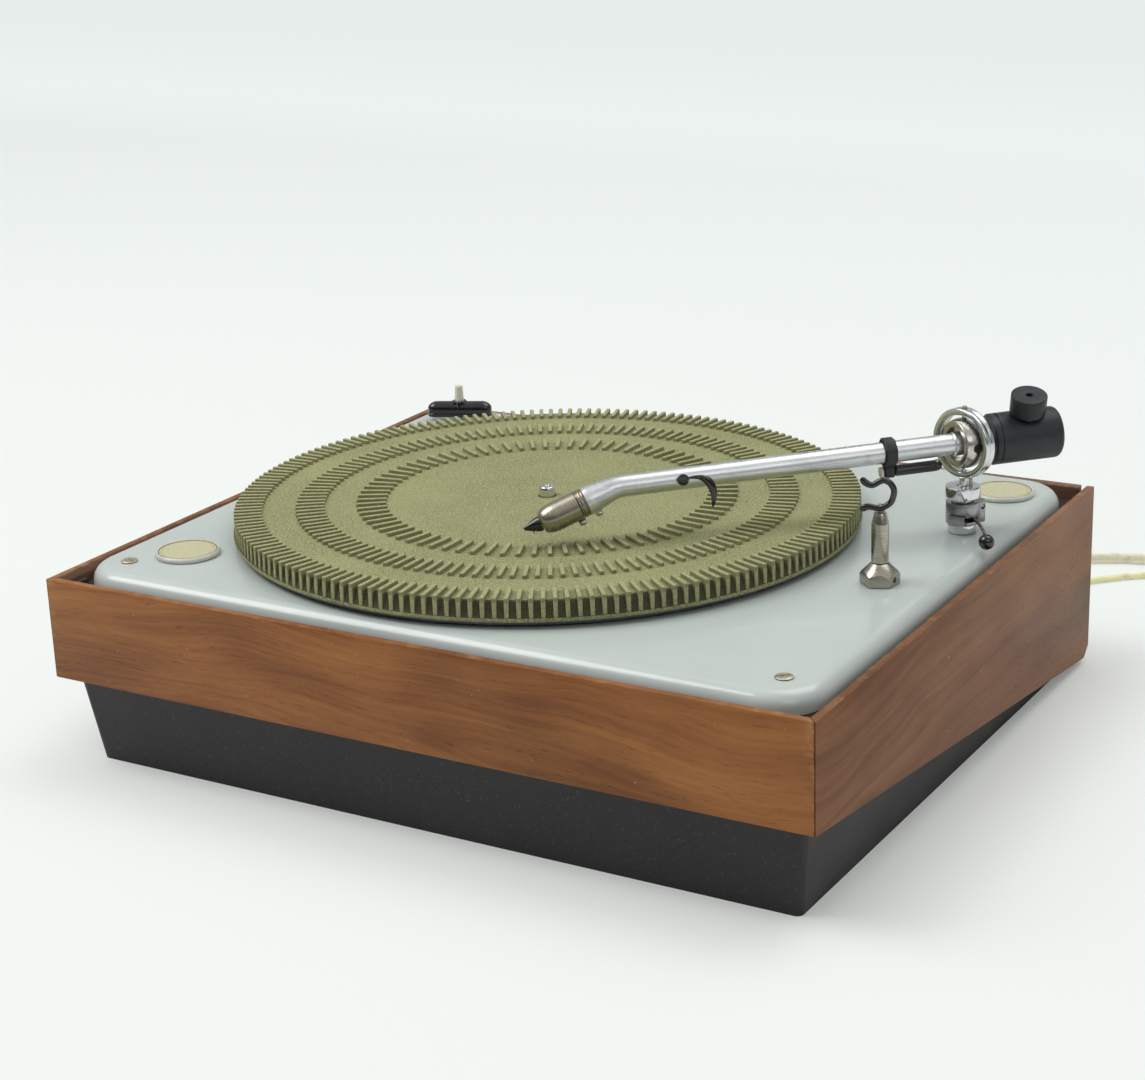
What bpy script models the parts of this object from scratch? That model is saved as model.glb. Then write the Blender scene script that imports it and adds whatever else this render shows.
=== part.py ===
"""Record player: a separate turntable in a walnut plinth, with a gimbal tonearm.

Metres, +Z up. The origin is on the floor under the middle of the plinth.
X runs along the front, Y to the back.
"""

from math import atan2, ceil, cos, pi, radians, sin, sqrt, tan

import bmesh
import bpy
from mathutils import Matrix, Vector

# Fits
SEAT_GAP = 0.0003
RUNNING_GAP = 0.0003
OVERRUN = 0.002

# Plinth
PLINTH_WIDTH = 0.388
PLINTH_DEPTH = 0.330
PLINTH_TOP = 0.092
BOARD = 0.00625
FRONT_BOARD_BOTTOM = 0.0435
SIDE_REAR_BOTTOM = 0.0022
SIDE_REAR_CHAMFER = 0.006
BACK_BOARD_BOTTOM = 0.004

# Base carcase
CASE_GAP = 0.0009
CASE_WALL = 0.003
CASE_TOP = 0.080
CASE_TUCK_SIDE = 0.0053
CASE_TUCK_FRONT = 0.0059
CASE_CORNER = 0.003
COVER_THICKNESS = 0.003

# Top plate
PLATE_TOP = 0.0955
PLATE_GAP = 0.002
PLATE_SHEET = 0.0018
PLATE_CORNER = 0.024
PLATE_EDGE = 0.007
PLATE_SKIRT = 0.0095
PLATE_SCREW_TO_SIDE = 0.0265
PLATE_SCREW_TO_FRONT = 0.0283
PLATE_SCREW_X = PLINTH_WIDTH / 2 - PLATE_SCREW_TO_SIDE
PLATE_SCREW_Y = PLINTH_DEPTH / 2 - PLATE_SCREW_TO_FRONT
SCREW_HEAD_RADIUS = 0.0039
SCREW_HEAD_HEIGHT = 0.0016
SCREW_SLOT_WIDTH = 0.0009
SCREW_SLOT_DEPTH = 0.0008
SCREW_SHANK_RADIUS = 0.0016
SCREW_LENGTH = 0.018

# Wooden frame that carries the plate
FRAME_WIDTH = 0.0115
FRAME_FRONT_GUSSET = 0.034
FRAME_REAR_GUSSET = 0.012
BLOCK_THICKNESS = 0.0029
BLOCK_LENGTH = 0.0115
BLOCK_TOP = 0.088

# Badges
BADGE_RADIUS = 0.015
BADGE_HEIGHT = 0.0022
BADGE_RIM = 0.0026
BADGE_LIP = 0.0004
FRONT_BADGE_TO_SIDE = 0.0451
FRONT_BADGE_TO_FRONT = 0.0481
REAR_BADGE_TO_SIDE = 0.0326
REAR_BADGE_TO_BACK = 0.0407
FRONT_BADGE = (FRONT_BADGE_TO_SIDE - PLINTH_WIDTH / 2, FRONT_BADGE_TO_FRONT - PLINTH_DEPTH / 2)
REAR_BADGE = (PLINTH_WIDTH / 2 - REAR_BADGE_TO_SIDE, PLINTH_DEPTH / 2 - REAR_BADGE_TO_BACK)

# Platter, mat and spindle
PLATTER_X = -0.0212
PLATTER_Y = -0.0018
MAT_RADIUS = 0.150
MAT_FLANGE_BOTTOM = 0.0989
MAT_FLANGE_THICKNESS = 0.0016
MAT_SURFACE = 0.1078
MAT_THICKNESS = 0.002
MAT_WALL_RADIUS = 0.1462
MAT_WALL = 0.0017
RIB_HEIGHT = 0.0018
RIB_WIDTH = 0.00195
OUTER_RIB_COUNT = 180
OUTER_RIB_ENDS = (0.1493, 0.1358)
MIDDLE_RIB_COUNT = 135
MIDDLE_RIB_ENDS = (0.1202, 0.1062)
INNER_RIB_COUNT = 80
INNER_RIB_ENDS = (0.0914, 0.0769)
MAT_HOLE_RADIUS = 0.0043
PLATTER_LIP_RADIUS = 0.148
PLATTER_LIP_THICKNESS = 0.0016
PLATTER_RIM_THICKNESS = 0.0032
PLATTER_SHEET = 0.0023
HUB_RADIUS = 0.014
HUB_FLARE = 0.003
HUB_LENGTH = 0.0034
SPINDLE_RADIUS = 0.00375
SPINDLE_TOP = 0.1125
SPINDLE_NOSE = 0.0022
BEARING_BOTTOM = 0.052
BEARING_FLOOR = 0.004
BEARING_RADIUS = 0.009
BEARING_FLANGE_RADIUS = 0.022
BEARING_FLANGE_THICKNESS = 0.0018
BEARING_NECK_RADIUS = 0.0105
BEARING_TOP = 0.0994

# Drive: motor pulley, idler wheel and platter rim
IDLER_RADIUS = 0.020
IDLER_HEADING = radians(215)
IDLER_WRAP = radians(130)
DRIVE_GAP = 0.0004
TYRE_DEPTH = 0.0027
TYRE_THICKNESS = 0.003
TYRE_BOTTOM = 0.0984
WHEEL_THICKNESS = 0.0026
WHEEL_BOTTOM = 0.0978
IDLER_PIN_RADIUS = 0.0014
IDLER_PIN_TOP = 0.1016
LEVER_BOTTOM = 0.0961
LEVER_THICKNESS = 0.0013
LEVER_WIDTH = 0.008
LEVER_LENGTH = 0.045
LEVER_POST_RADIUS = 0.0022
LEVER_POST_HEAD = 0.0035
LEVER_POST_HEAD_THICKNESS = 0.001
PULLEY_RADII = (0.00787, 0.00454, 0.00336)
PULLEY_STEP = 0.0050
PULLEY_BOTTOM = 0.0878
MOTOR_SHAFT_RADIUS = 0.0016
MOTOR_RADIUS = 0.032
MOTOR_TOP = 0.084
MOTOR_BOTTOM = 0.036
MOTOR_CHAMFER = 0.003
MOTOR_FLOOR = 0.0037
MOTOR_OPENING = 0.012
MOTOR_SEAT_RADIUS = 0.0265
MOTOR_SEAT_BORE = 0.0215

# Speed selector
SELECTOR_TO_SIDE = 0.0365
SELECTOR_TO_BACK = 0.0331
SELECTOR_X = SELECTOR_TO_SIDE - PLINTH_WIDTH / 2
SELECTOR_Y = PLINTH_DEPTH / 2 - SELECTOR_TO_BACK
SELECTOR_HEADING = radians(23.4)
SELECTOR_LENGTH = 0.0358
SELECTOR_WIDTH = 0.0088
SELECTOR_BOTTOM = 0.0978
SELECTOR_TOP = 0.106
SELECTOR_ROUND = 0.0034
SELECTOR_SHAFT_RADIUS = 0.003
SELECTOR_SHAFT_BOTTOM = 0.076
PIN_BASE_RADIUS = 0.00255
PIN_TIP_RADIUS = 0.0021
PIN_HEIGHT = 0.009
PIN_TRAVEL = 0.003
PIN_SUNK = 0.004
SWITCH_SIDE = 0.026
SWITCH_HEIGHT = 0.020
SWITCH_OFFSET = (0.0045, -0.0063)

# Arm pillar
ARM_TO_SIDE = 0.0297
ARM_TO_BACK = 0.1021
ARM_X = PLINTH_WIDTH / 2 - ARM_TO_SIDE
ARM_Y = PLINTH_DEPTH / 2 - ARM_TO_BACK
ARM_HUB = 0.1384
ARM_HEADING = radians(-138.3)
ARM_SLOPE = radians(2.0)
ARM_BASE_RADIUS = 0.0065
ARM_BASE_HEIGHT = 0.0042
ARM_SHANK_RADIUS = 0.005
ARM_SHANK_BOTTOM = 0.084
POST_RADIUS = 0.0025
POST_BOTTOM = 0.0825
STEM_RADIUS = 0.0019
CLAMP_RADIUS = 0.00775
CLAMP_HEIGHT = 0.010
LUG_HEADING = radians(38)
LUG_REACH = 0.0108
LUG_WIDTH = 0.006
CLAMP_SPLIT = 0.0008
CLAMP_SCREW_REACH = 0.0090
CLAMP_SCREW_HEIGHT = 0.0074
CLAMP_SCREW_RADIUS = 0.0009
CLAMP_SCREW_HEAD_RADIUS = 0.0019
CLAMP_SCREW_HEAD = 0.0014
NECK_RADIUS = 0.0056
NECK_HEIGHT = 0.0019
DISC_RADIUS = 0.0082
DISC_TOP = 0.118
DISC_EDGE = 0.0005

# Lift lever
LEVER_SLOT_BOTTOM = 0.0016
LEVER_SLOT_HEIGHT = 0.0024
LEVER_EYE_RADIUS = 0.0046
LEVER_EYE_THICKNESS = 0.0018
LEVER_ROD_RADIUS = 0.0009
LEVER_HEADING = radians(-20)
LEVER_LOW_SWING = radians(-35)
LEVER_HIGH_SWING = radians(20)
LEVER_REACH = 0.0305
LEVER_DROP = 0.0030
LEVER_TURN = radians(-28)
LEVER_BALL_RADIUS = 0.00365

# Gimbal
RING_HEADING = radians(70)
RING_RADIUS = 0.0165
RING_BORE = 0.0133
RING_WIDTH = 0.0064
RING_GROOVE = 0.0005
RING_GROOVE_WIDTH = 0.0022
PIVOT_RADIUS = 0.00105
INNER_RADIUS = 0.01175
INNER_BORE = 0.00785
INNER_WIDTH = 0.010
INNER_OFFSET = radians(13)
PIVOT_CUP_DEPTH = 0.0014
SIDE_PIVOT_RADIUS = 0.0013

# Arm
TUBE_RADIUS = 0.005
TUBE_REAR = 0.0075
TRUNNION_RADIUS = 0.0056
TRUNNION_WIDTH = 0.011
TUBE_STRAIGHT = 0.1531
BEND_ANGLE = radians(13.6)
BEND_RADIUS = 0.040
HEAD_ANGLE = radians(19.6)
FLARE_LENGTH = 0.0144
FLARE_COLLAR = 0.002
FLARE_RADIUS = 0.00665
LOCK_RING_LENGTH = 0.0030
LOCK_RING_GROOVE = 0.0005
SHELL_LENGTH = 0.0182
SHELL_ROUND = 0.0075
SHELL_NOSE_RADIUS = 0.0039
NOSE_LENGTH = 0.008
NOSE_RADIUS = 0.0036
NOSE_TIP_RADIUS = 0.0009
NOSE_RISE = 0.0014
STYLUS_PLACE = 0.0045
STYLUS_LENGTH = 0.0016
STYLUS_RADIUS = 0.0005
STYLUS_TIP_RADIUS = 0.00015
JOINT_SCREW_RADIUS = 0.0018
JOINT_SCREW_HEIGHT = 0.0018
FRONT_SCREW_PLACE = 0.0024
REAR_SCREW_PLACE = 0.0052
REAR_SCREW_SEAT = 0.0061
LIFT_PLACE = 0.1344
LIFT_RISE = 0.0012
LIFT_DISC_RADIUS = 0.0027
LIFT_DISC_THICKNESS = 0.0012
LIFT_RUN = 0.0105
LIFT_FALL = 0.0135
LIFT_OUT = 0.003
LIFT_WIDTH = 0.0038
LIFT_SHEET = 0.0008

# Sliding force collar with its grooved bar
COLLAR_PLACE = 0.0364
COLLAR_WIDTH = 0.0056
COLLAR_RADIUS = 0.0068
COLLAR_DROP = 0.0118
COLLAR_LUG_WIDTH = 0.0048
COLLAR_TRAVEL = 0.025
COLLAR_DISC_RADIUS = 0.0024
COLLAR_DISC_THICKNESS = 0.0012
BAR_LENGTH = 0.0225
BAR_RADIUS = 0.0026
BAR_TAPER = 0.0045
BAR_GROOVE = 0.0006
BAR_GROOVE_COUNT = 2

# Counterweight
WEIGHT_FRONT = 0.0115
WEIGHT_LENGTH = 0.0336
WEIGHT_RADIUS = 0.0119
WEIGHT_ROUND = 0.0026
WEIGHT_TRAVEL = 0.010
SHAFT_RADIUS = 0.0032
SHAFT_END = 0.0402
KNOB_PLACE = 0.0296
KNOB_ROLL = radians(16)
KNOB_RADIUS = 0.0083
BOSS_RADIUS = 0.0055
KNOB_SEAT = 0.0135
KNOB_TOP = 0.0218
KNOB_EDGE = 0.0007
KNOB_HOLE = 0.0015
KNOB_HOLE_DEPTH = 0.002

# Arm rest
REST_INSIDE_ARM = 0.0063
REST_BEFORE_ARM = 0.0819
REST_X = ARM_X - REST_INSIDE_ARM
REST_Y = ARM_Y - REST_BEFORE_ARM
REST_FLATS = 0.0154
REST_TURN = radians(21)
REST_CORNER_HEIGHT = 0.0043
REST_CONE_TOP = 0.1053
REST_POST_RADIUS = 0.00385
REST_SHOULDER = 0.1232
REST_TIP_RADIUS = 0.0026
REST_STUD_RADIUS = 0.003
REST_STUD_BOTTOM = 0.084
HOOK_WIRE_RADIUS = 0.0014
HOOK_BOTTOM = 0.130
HOOK_WIDTH = 0.0145
HOOK_HEIGHT = 0.0136
HOOK_HEADING = radians(22.8)

# Leads
LEAD_HEIGHT = 0.020
BOOT_FLANGE_RADIUS = 0.0075
BOOT_FLANGE = 0.0016
BOOT_LENGTH = 0.022
BOOT_TIP_RADIUS = 0.0046
GROMMET_RADIUS = 0.0052
GROMMET_LENGTH = 0.0050
TURN_POINTS = 24
TAIL_STEPS = 4
WIND_GAP = 0.0005
CLIMB_TURNS = 1 / 2
LEAD_POINT_STEP = 3.0
LEAD_ROUNDNESS = 2
COIL_ROUNDNESS = 1

# Coils and routes are measured from the middle of the plinth's back
MAINS = {
    "diameter": 0.0062,
    "gland_x": 0.096,
    "coil_centre": (0.255, 0.185),
    "coil_radius": 0.0365,
    "entry_heading": radians(-90),
    "turns": 4.5,
    "winding": 1,
    "tail": 0.031,
    "plug_axis": 0.0072,
    "route": (
        (0.0963, 0.0410, 0.0165),
        (0.0980, 0.0540, 0.0085),
        (0.1020, 0.0680, 0.0042),
        (0.1085, 0.0830, 0.0034),
        (0.1170, 0.0990, 0.0034),
        (0.1265, 0.1160, 0.0034),
        (0.1370, 0.1310, 0.0034),
        (0.1492, 0.1409, 0.0034),
        (0.1625, 0.1475, 0.0034),
        (0.1765, 0.1515, 0.0034),
        (0.1920, 0.1530, 0.0034),
        (0.2080, 0.1515, 0.0034),
        (0.2250, 0.1475, 0.0034),
    ),
}
SIGNAL = {
    "diameter": 0.0038,
    "gland_x": 0.122,
    "coil_centre": (0.262, 0.097),
    "coil_radius": 0.0228,
    "entry_heading": radians(90),
    "turns": 4.0,
    "winding": -1,
    "tail": 0.023,
    "plug_axis": 0.0068,
    "route": (
        (0.1222, 0.0180, 0.0175),
        (0.1235, 0.0280, 0.0115),
        (0.1255, 0.0390, 0.0056),
        (0.1285, 0.0510, 0.0029),
        (0.1330, 0.0640, 0.0021),
        (0.1395, 0.0780, 0.0021),
        (0.1485, 0.0940, 0.0021),
        (0.1599, 0.1087, 0.0021),
        (0.1710, 0.1200, 0.0021),
        (0.1829, 0.1290, 0.0021),
        (0.1950, 0.1340, 0.0021),
        (0.2080, 0.1355, 0.0021),
        (0.2210, 0.1340, 0.0021),
        (0.2340, 0.1305, 0.0021),
    ),
}
PLUG_LENGTH = 0.034
PLUG_WIDTH = 0.019
PLUG_HEIGHT = 0.014
PLUG_NECK = 0.012
PLUG_PIN_RADIUS = 0.002
PLUG_PIN_LENGTH = 0.016
PLUG_PIN_PITCH = 0.0095
JACK_RADIUS = 0.0066
JACK_LENGTH = 0.024
JACK_NECK_RADIUS = 0.0034
JACK_SHELL_RADIUS = 0.0056
JACK_SHELL_LENGTH = 0.009

# How finely round pieces are divided
FINE_SIDES = 36
ROUND_SIDES = 18
SMALL_SIDES = 12
TINY_SIDES = 8
CORNER_STEPS = 4
EDGE_STEPS = 3
SMOOTH_ANGLE = radians(35)

ALONG_X = Matrix.Rotation(pi / 2, 4, "Y")
ALONG_Y = Matrix.Rotation(-pi / 2, 4, "X")


def clear_scene():
    for old in list(bpy.data.objects):
        bpy.data.objects.remove(old, do_unlink=True)


def look(name, colour, roughness, metallic=0.0):
    """A plain material of the piece's own colour."""
    made = bpy.data.materials.new(name)
    made.use_nodes = True
    shader = made.node_tree.nodes["Principled BSDF"]
    shader.inputs["Base Color"].default_value = (*colour, 1.0)
    shader.inputs["Roughness"].default_value = roughness
    shader.inputs["Metallic"].default_value = metallic
    return made


def make_looks():
    return {
        "walnut": look("walnut", (0.23, 0.10, 0.045), 0.45),
        "pine": look("pine", (0.42, 0.27, 0.14), 0.7),
        "board": look("board", (0.20, 0.13, 0.08), 0.8),
        "black_paint": look("black_paint", (0.02, 0.02, 0.02), 0.5),
        "black_gloss": look("black_gloss", (0.01, 0.01, 0.01), 0.15),
        "enamel": look("enamel", (0.55, 0.60, 0.60), 0.2),
        "mat_rubber": look("mat_rubber", (0.33, 0.31, 0.19), 0.75),
        "black_rubber": look("black_rubber", (0.03, 0.03, 0.03), 0.85),
        "steel": look("steel", (0.60, 0.60, 0.60), 0.3, 1.0),
        "chrome": look("chrome", (0.80, 0.80, 0.80), 0.1, 1.0),
        "alloy": look("alloy", (0.68, 0.69, 0.70), 0.35, 1.0),
        "brass": look("brass", (0.70, 0.52, 0.22), 0.35, 1.0),
        "ivory": look("ivory", (0.75, 0.72, 0.60), 0.35),
        "cream": look("cream", (0.72, 0.66, 0.50), 0.5),
        "pale_yellow": look("pale_yellow", (0.75, 0.73, 0.42), 0.5),
    }


def polar(radius, heading, height=0.0):
    return Vector((radius * cos(heading), radius * sin(heading), height))


def ring_of(radius, height, sides):
    return [polar(radius, 2 * pi * i / sides, height) for i in range(sides)]


def skin(shape, low, high):
    """Quads between two rings of equal counts, or a fan where one ring is a single point."""
    count = max(len(low), len(high))
    for i in range(count):
        j = (i + 1) % count
        corners = [low[i % len(low)], low[j % len(low)], high[j % len(high)], high[i % len(high)]]
        shape.faces.new(list(dict.fromkeys(corners)))


def loft(rings, closed_loop=False):
    """One closed body through rings of points, capped at its ends or joined end to start."""
    shape = bmesh.new()
    rows = [[shape.verts.new(point) for point in ring] for ring in rings]
    for low, high in zip(rows, rows[1:]):
        skin(shape, low, high)
    if closed_loop:
        skin(shape, rows[-1], rows[0])
    else:
        for row in (rows[0], rows[-1]):
            if len(row) > 2:
                shape.faces.new(row)
    bmesh.ops.recalc_face_normals(shape, faces=shape.faces)
    return shape


def turned(profile, sides, hollow=False, matrix=None):
    """A body of revolution about Z. A radius of zero is a point on the axis."""
    rings = [
        ring_of(radius, height, sides) if radius else [Vector((0, 0, height))]
        for radius, height in profile
    ]
    shape = loft(rings, closed_loop=hollow)
    if matrix:
        shape.transform(matrix)
    return shape


def rod(radius, low, high, sides, matrix=None):
    return turned([(radius, low), (radius, high)], sides, matrix=matrix)


def prism(outline, low, high):
    return loft([[Vector((x, y, z)) for x, y in outline] for z in (low, high)])


def block(low, high):
    outline = [(low[0], low[1]), (high[0], low[1]), (high[0], high[1]), (low[0], high[1])]
    return prism(outline, low[2], high[2])


def filleted(corners, radius, steps):
    """A convex outline, counter-clockwise, with each corner rounded by the same radius."""
    points = []
    for i, corner in enumerate(corners):
        here = Vector(corner)
        back = (Vector(corners[i - 1]) - here).normalized()
        ahead = (Vector(corners[(i + 1) % len(corners)]) - here).normalized()
        half = back.angle(ahead) / 2
        centre = here + (back + ahead).normalized() * radius / sin(half)
        start = here + back * radius / tan(half) - centre
        turn = pi - 2 * half
        first = atan2(start.y, start.x)
        for step in range(steps + 1):
            angle = first + turn * step / steps
            points.append((centre.x + radius * cos(angle), centre.y + radius * sin(angle)))
    return points


def rectangle(half_x, low_y, high_y, rear_half_x=None):
    rear = half_x if rear_half_x is None else rear_half_x
    return [(-half_x, low_y), (half_x, low_y), (rear, high_y), (-rear, high_y)]


def at_height(outline, height):
    return [Vector((x, y, height)) for x, y in outline]


def swept(path, radii, sides):
    """A round bar of changing radius along a path, with its section square to the path."""
    path = [Vector(point) for point in path]
    side = None
    rings = []
    for i, (point, radius) in enumerate(zip(path, radii)):
        ahead = path[min(i + 1, len(path) - 1)] - path[max(i - 1, 0)]
        ahead.normalize()
        if side is None:
            side = ahead.orthogonal().normalized()
        side = (side - ahead * side.dot(ahead)).normalized()
        up = ahead.cross(side)
        rings.append(
            [
                point + side * radius * cos(2 * pi * k / sides) + up * radius * sin(2 * pi * k / sides)
                for k in range(sides)
            ]
        )
    return loft(rings)


def ribbon(path, across, thickness, width):
    """A strip bent along a path. across is the direction of its width."""
    path = [Vector(point) for point in path]
    across = Vector(across).normalized()
    rings = []
    for i, point in enumerate(path):
        ahead = (path[min(i + 1, len(path) - 1)] - path[max(i - 1, 0)]).normalized()
        out = ahead.cross(across).normalized() * thickness / 2
        wide = across * width / 2
        rings.append([point - out - wide, point + out - wide, point + out + wide, point - out + wide])
    return loft(rings)


def smooth_path(points, step):
    """Points about one step apart on a smooth curve through the given points."""
    points = [Vector(point) for point in points]
    ends = [2 * points[0] - points[1], *points, 2 * points[-1] - points[-2]]
    found = []
    for a, b, c, d in zip(ends, ends[1:], ends[2:], ends[3:]):
        pieces = max(1, round((c - b).length / step))
        for k in range(pieces):
            t = k / pieces
            square = 2 * a - 5 * b + 4 * c - d
            cube = 3 * b - a - 3 * c + d
            found.append((2 * b + (c - a) * t + square * t**2 + cube * t**3) / 2)
    found.append(points[-1])
    return found


def add(name, shape, material, place=(0, 0, 0), parent=None, turn=(0, 0, 0)):
    """The finished object of a shape, with its origin at place."""
    mesh = bpy.data.meshes.new(name)
    shape.to_mesh(mesh)
    shape.free()
    mesh.materials.append(material)
    mesh.shade_smooth()
    mesh.set_sharp_from_angle(angle=SMOOTH_ANGLE)
    made = bpy.data.objects.new(name, mesh)
    bpy.context.collection.objects.link(made)
    made.location = place
    made.rotation_euler = turn
    made.parent = parent
    return made


def combine(body, operation, *shapes):
    """Cuts shapes out of the body, or joins them to it, in the body's own frame."""
    for number, shape in enumerate(shapes):
        helper = add(f"{body.name} {operation.lower()} {number}", shape, body.data.materials[0])
        helper.parent = body
        helper.hide_render = True
        helper.display_type = "WIRE"
        change = body.modifiers.new(helper.name, "BOOLEAN")
        change.operation = operation
        change.solver = "EXACT"
        change.object = helper
    return body


def cut(body, *shapes):
    return combine(body, "DIFFERENCE", *shapes)


def join(body, *shapes):
    return combine(body, "UNION", *shapes)


def axis(name, place, turn=(0, 0, 0), parent=None):
    """An empty that stands on a joint's axis and carries what moves there."""
    made = bpy.data.objects.new(name, None)
    made.empty_display_size = PLINTH_TOP / 10
    bpy.context.collection.objects.link(made)
    made.location = place
    made.rotation_euler = turn
    made.parent = parent
    return made


def lead(name, points, diameter, material, resolution):
    """A round lead as a curve with a bevel, closed at both ends."""
    curve = bpy.data.curves.new(name, "CURVE")
    curve.dimensions = "3D"
    spline = curve.splines.new("POLY")
    spline.points.add(len(points) - 1)
    for target, point in zip(spline.points, points):
        target.co = (*point, 1.0)
    curve.bevel_depth = diameter / 2
    curve.bevel_resolution = resolution
    curve.use_fill_caps = True
    curve.materials.append(material)
    made = bpy.data.objects.new(name, curve)
    bpy.context.collection.objects.link(made)
    return made


# Plinth boards and the base inside them


def case_outline(inset_side, inset_front, inward):
    half = PLINTH_WIDTH / 2 - BOARD - CASE_GAP - inward
    front = -(PLINTH_DEPTH / 2 - BOARD - CASE_GAP - inward)
    corners = rectangle(half - inset_side, front + inset_front, -front, half)
    return filleted(corners, max(CASE_CORNER - inward, CASE_CORNER / 3), EDGE_STEPS)


def add_case(looks):
    outer_foot = at_height(case_outline(CASE_TUCK_SIDE, CASE_TUCK_FRONT, 0), 0)
    outer_waist = at_height(case_outline(0, 0, 0), FRONT_BOARD_BOTTOM)
    outer_top = at_height(case_outline(0, 0, 0), CASE_TOP)
    inner_top = at_height(case_outline(0, 0, CASE_WALL), CASE_TOP)
    inner_waist = at_height(case_outline(0, 0, CASE_WALL), FRONT_BOARD_BOTTOM)
    inner_foot = at_height(case_outline(CASE_TUCK_SIDE, CASE_TUCK_FRONT, CASE_WALL), 0)
    rings = [outer_foot, outer_waist, outer_top, inner_top, inner_waist, inner_foot]
    add("base_carcase", loft(rings, closed_loop=True), looks["black_paint"])
    inside = case_outline(CASE_TUCK_SIDE, CASE_TUCK_FRONT, CASE_WALL + SEAT_GAP)
    add("bottom_cover", prism(inside, 0, COVER_THICKNESS), looks["board"])


def side_bottom(y):
    """Height of a side board's lower edge, which drops towards the back."""
    share = (y + PLINTH_DEPTH / 2) / PLINTH_DEPTH
    return FRONT_BOARD_BOTTOM + (SIDE_REAR_BOTTOM - FRONT_BOARD_BOTTOM) * share


def side_board(side):
    rear = PLINTH_DEPTH / 2
    rings = []
    for x, front in ((PLINTH_WIDTH / 2, -rear), (PLINTH_WIDTH / 2 - BOARD, BOARD - rear)):
        profile = [
            (front, PLINTH_TOP),
            (front, side_bottom(front)),
            (rear - SIDE_REAR_CHAMFER, side_bottom(rear - SIDE_REAR_CHAMFER)),
            (rear, side_bottom(rear) + SIDE_REAR_CHAMFER),
            (rear, PLINTH_TOP),
        ]
        rings.append([Vector((side * x, y, z)) for y, z in profile])
    return loft(rings)


def add_boards(looks):
    half, rear = PLINTH_WIDTH / 2, PLINTH_DEPTH / 2
    outline = [
        (SEAT_GAP - half, -rear),
        (half - SEAT_GAP, -rear),
        (half - SEAT_GAP - BOARD, BOARD - rear),
        (BOARD + SEAT_GAP - half, BOARD - rear),
    ]
    add("front_board", prism(outline, FRONT_BOARD_BOTTOM, PLINTH_TOP), looks["walnut"])
    add("left_board", side_board(-1), looks["walnut"])
    add("right_board", side_board(1), looks["walnut"])
    inner = half - BOARD - SEAT_GAP
    back = add(
        "back_board",
        block((-inner, rear - BOARD, BACK_BOARD_BOTTOM), (inner, rear, PLINTH_TOP)),
        looks["walnut"],
    )
    holes = []
    for cord, radius in ((MAINS, BOOT_TIP_RADIUS), (SIGNAL, GROMMET_RADIUS / 2)):
        hole = rod(radius + SEAT_GAP, rear - BOARD - OVERRUN, rear + OVERRUN, SMALL_SIDES, ALONG_Y)
        hole.transform(Matrix.Translation((cord["gland_x"], 0, LEAD_HEIGHT)))
        holes.append(hole)
    cut(back, *holes)


# Frame and packing block


def frame_top():
    """The plate's skirt rests on the frame."""
    return PLATE_TOP - PLATE_SKIRT - SEAT_GAP


def frame_opening():
    """The hole in the frame, with its corners filled for the screws in front and less so at the back."""
    half_x = PLINTH_WIDTH / 2 - BOARD - FRAME_WIDTH
    half_y = PLINTH_DEPTH / 2 - BOARD - FRAME_WIDTH
    front, rear = FRAME_FRONT_GUSSET, FRAME_REAR_GUSSET
    left = [(-half_x, half_y - rear), (-half_x, front - half_y), (front - half_x, -half_y)]
    right = [(half_x - front, -half_y), (half_x, front - half_y), (half_x, half_y - rear)]
    return left + right + [(half_x - rear, half_y), (rear - half_x, half_y)]


def add_frame(looks):
    half_x = PLINTH_WIDTH / 2 - BOARD - SEAT_GAP
    half_y = PLINTH_DEPTH / 2 - BOARD - SEAT_GAP
    bottom, top = CASE_TOP + SEAT_GAP, frame_top()
    slab = block((-half_x, -half_y, bottom), (half_x, half_y, top))
    frame = add("support_frame", slab, looks["pine"])
    below, above = bottom - OVERRUN, top + OVERRUN
    cut(frame, prism(frame_opening(), below, above), *screw_holes(below, above))
    low = (-half_x, -half_y, top + SEAT_GAP)
    high = (BLOCK_THICKNESS - half_x, BLOCK_LENGTH - half_y, BLOCK_TOP)
    add("packing_block", block(low, high), looks["black_rubber"])


def screw_holes(low, high):
    holes = []
    for side in (-1, 1):
        hole = rod(SCREW_SHANK_RADIUS + SEAT_GAP, low, high, TINY_SIDES)
        hole.transform(Matrix.Translation((side * PLATE_SCREW_X, -PLATE_SCREW_Y, 0)))
        holes.append(hole)
    return holes


# Top plate with its screws and badges


def plate_ring(inset, height):
    half_x = PLINTH_WIDTH / 2 - BOARD - PLATE_GAP - inset
    half_y = PLINTH_DEPTH / 2 - BOARD - PLATE_GAP - inset
    outline = filleted(rectangle(half_x, -half_y, half_y), PLATE_CORNER - inset, CORNER_STEPS)
    return at_height(outline, height)


def plate_skin(inward, steps):
    """Rings of one side of the pressed plate, from the skirt's edge up to the flat top."""
    round_edge = PLATE_EDGE - inward
    rings = [plate_ring(inward, PLATE_TOP - PLATE_SKIRT)]
    for step in range(steps + 1):
        angle = pi / 2 * step / steps
        inset = inward + round_edge * (1 - cos(angle))
        rings.append(plate_ring(inset, PLATE_TOP - PLATE_EDGE + round_edge * sin(angle)))
    return rings


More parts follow.
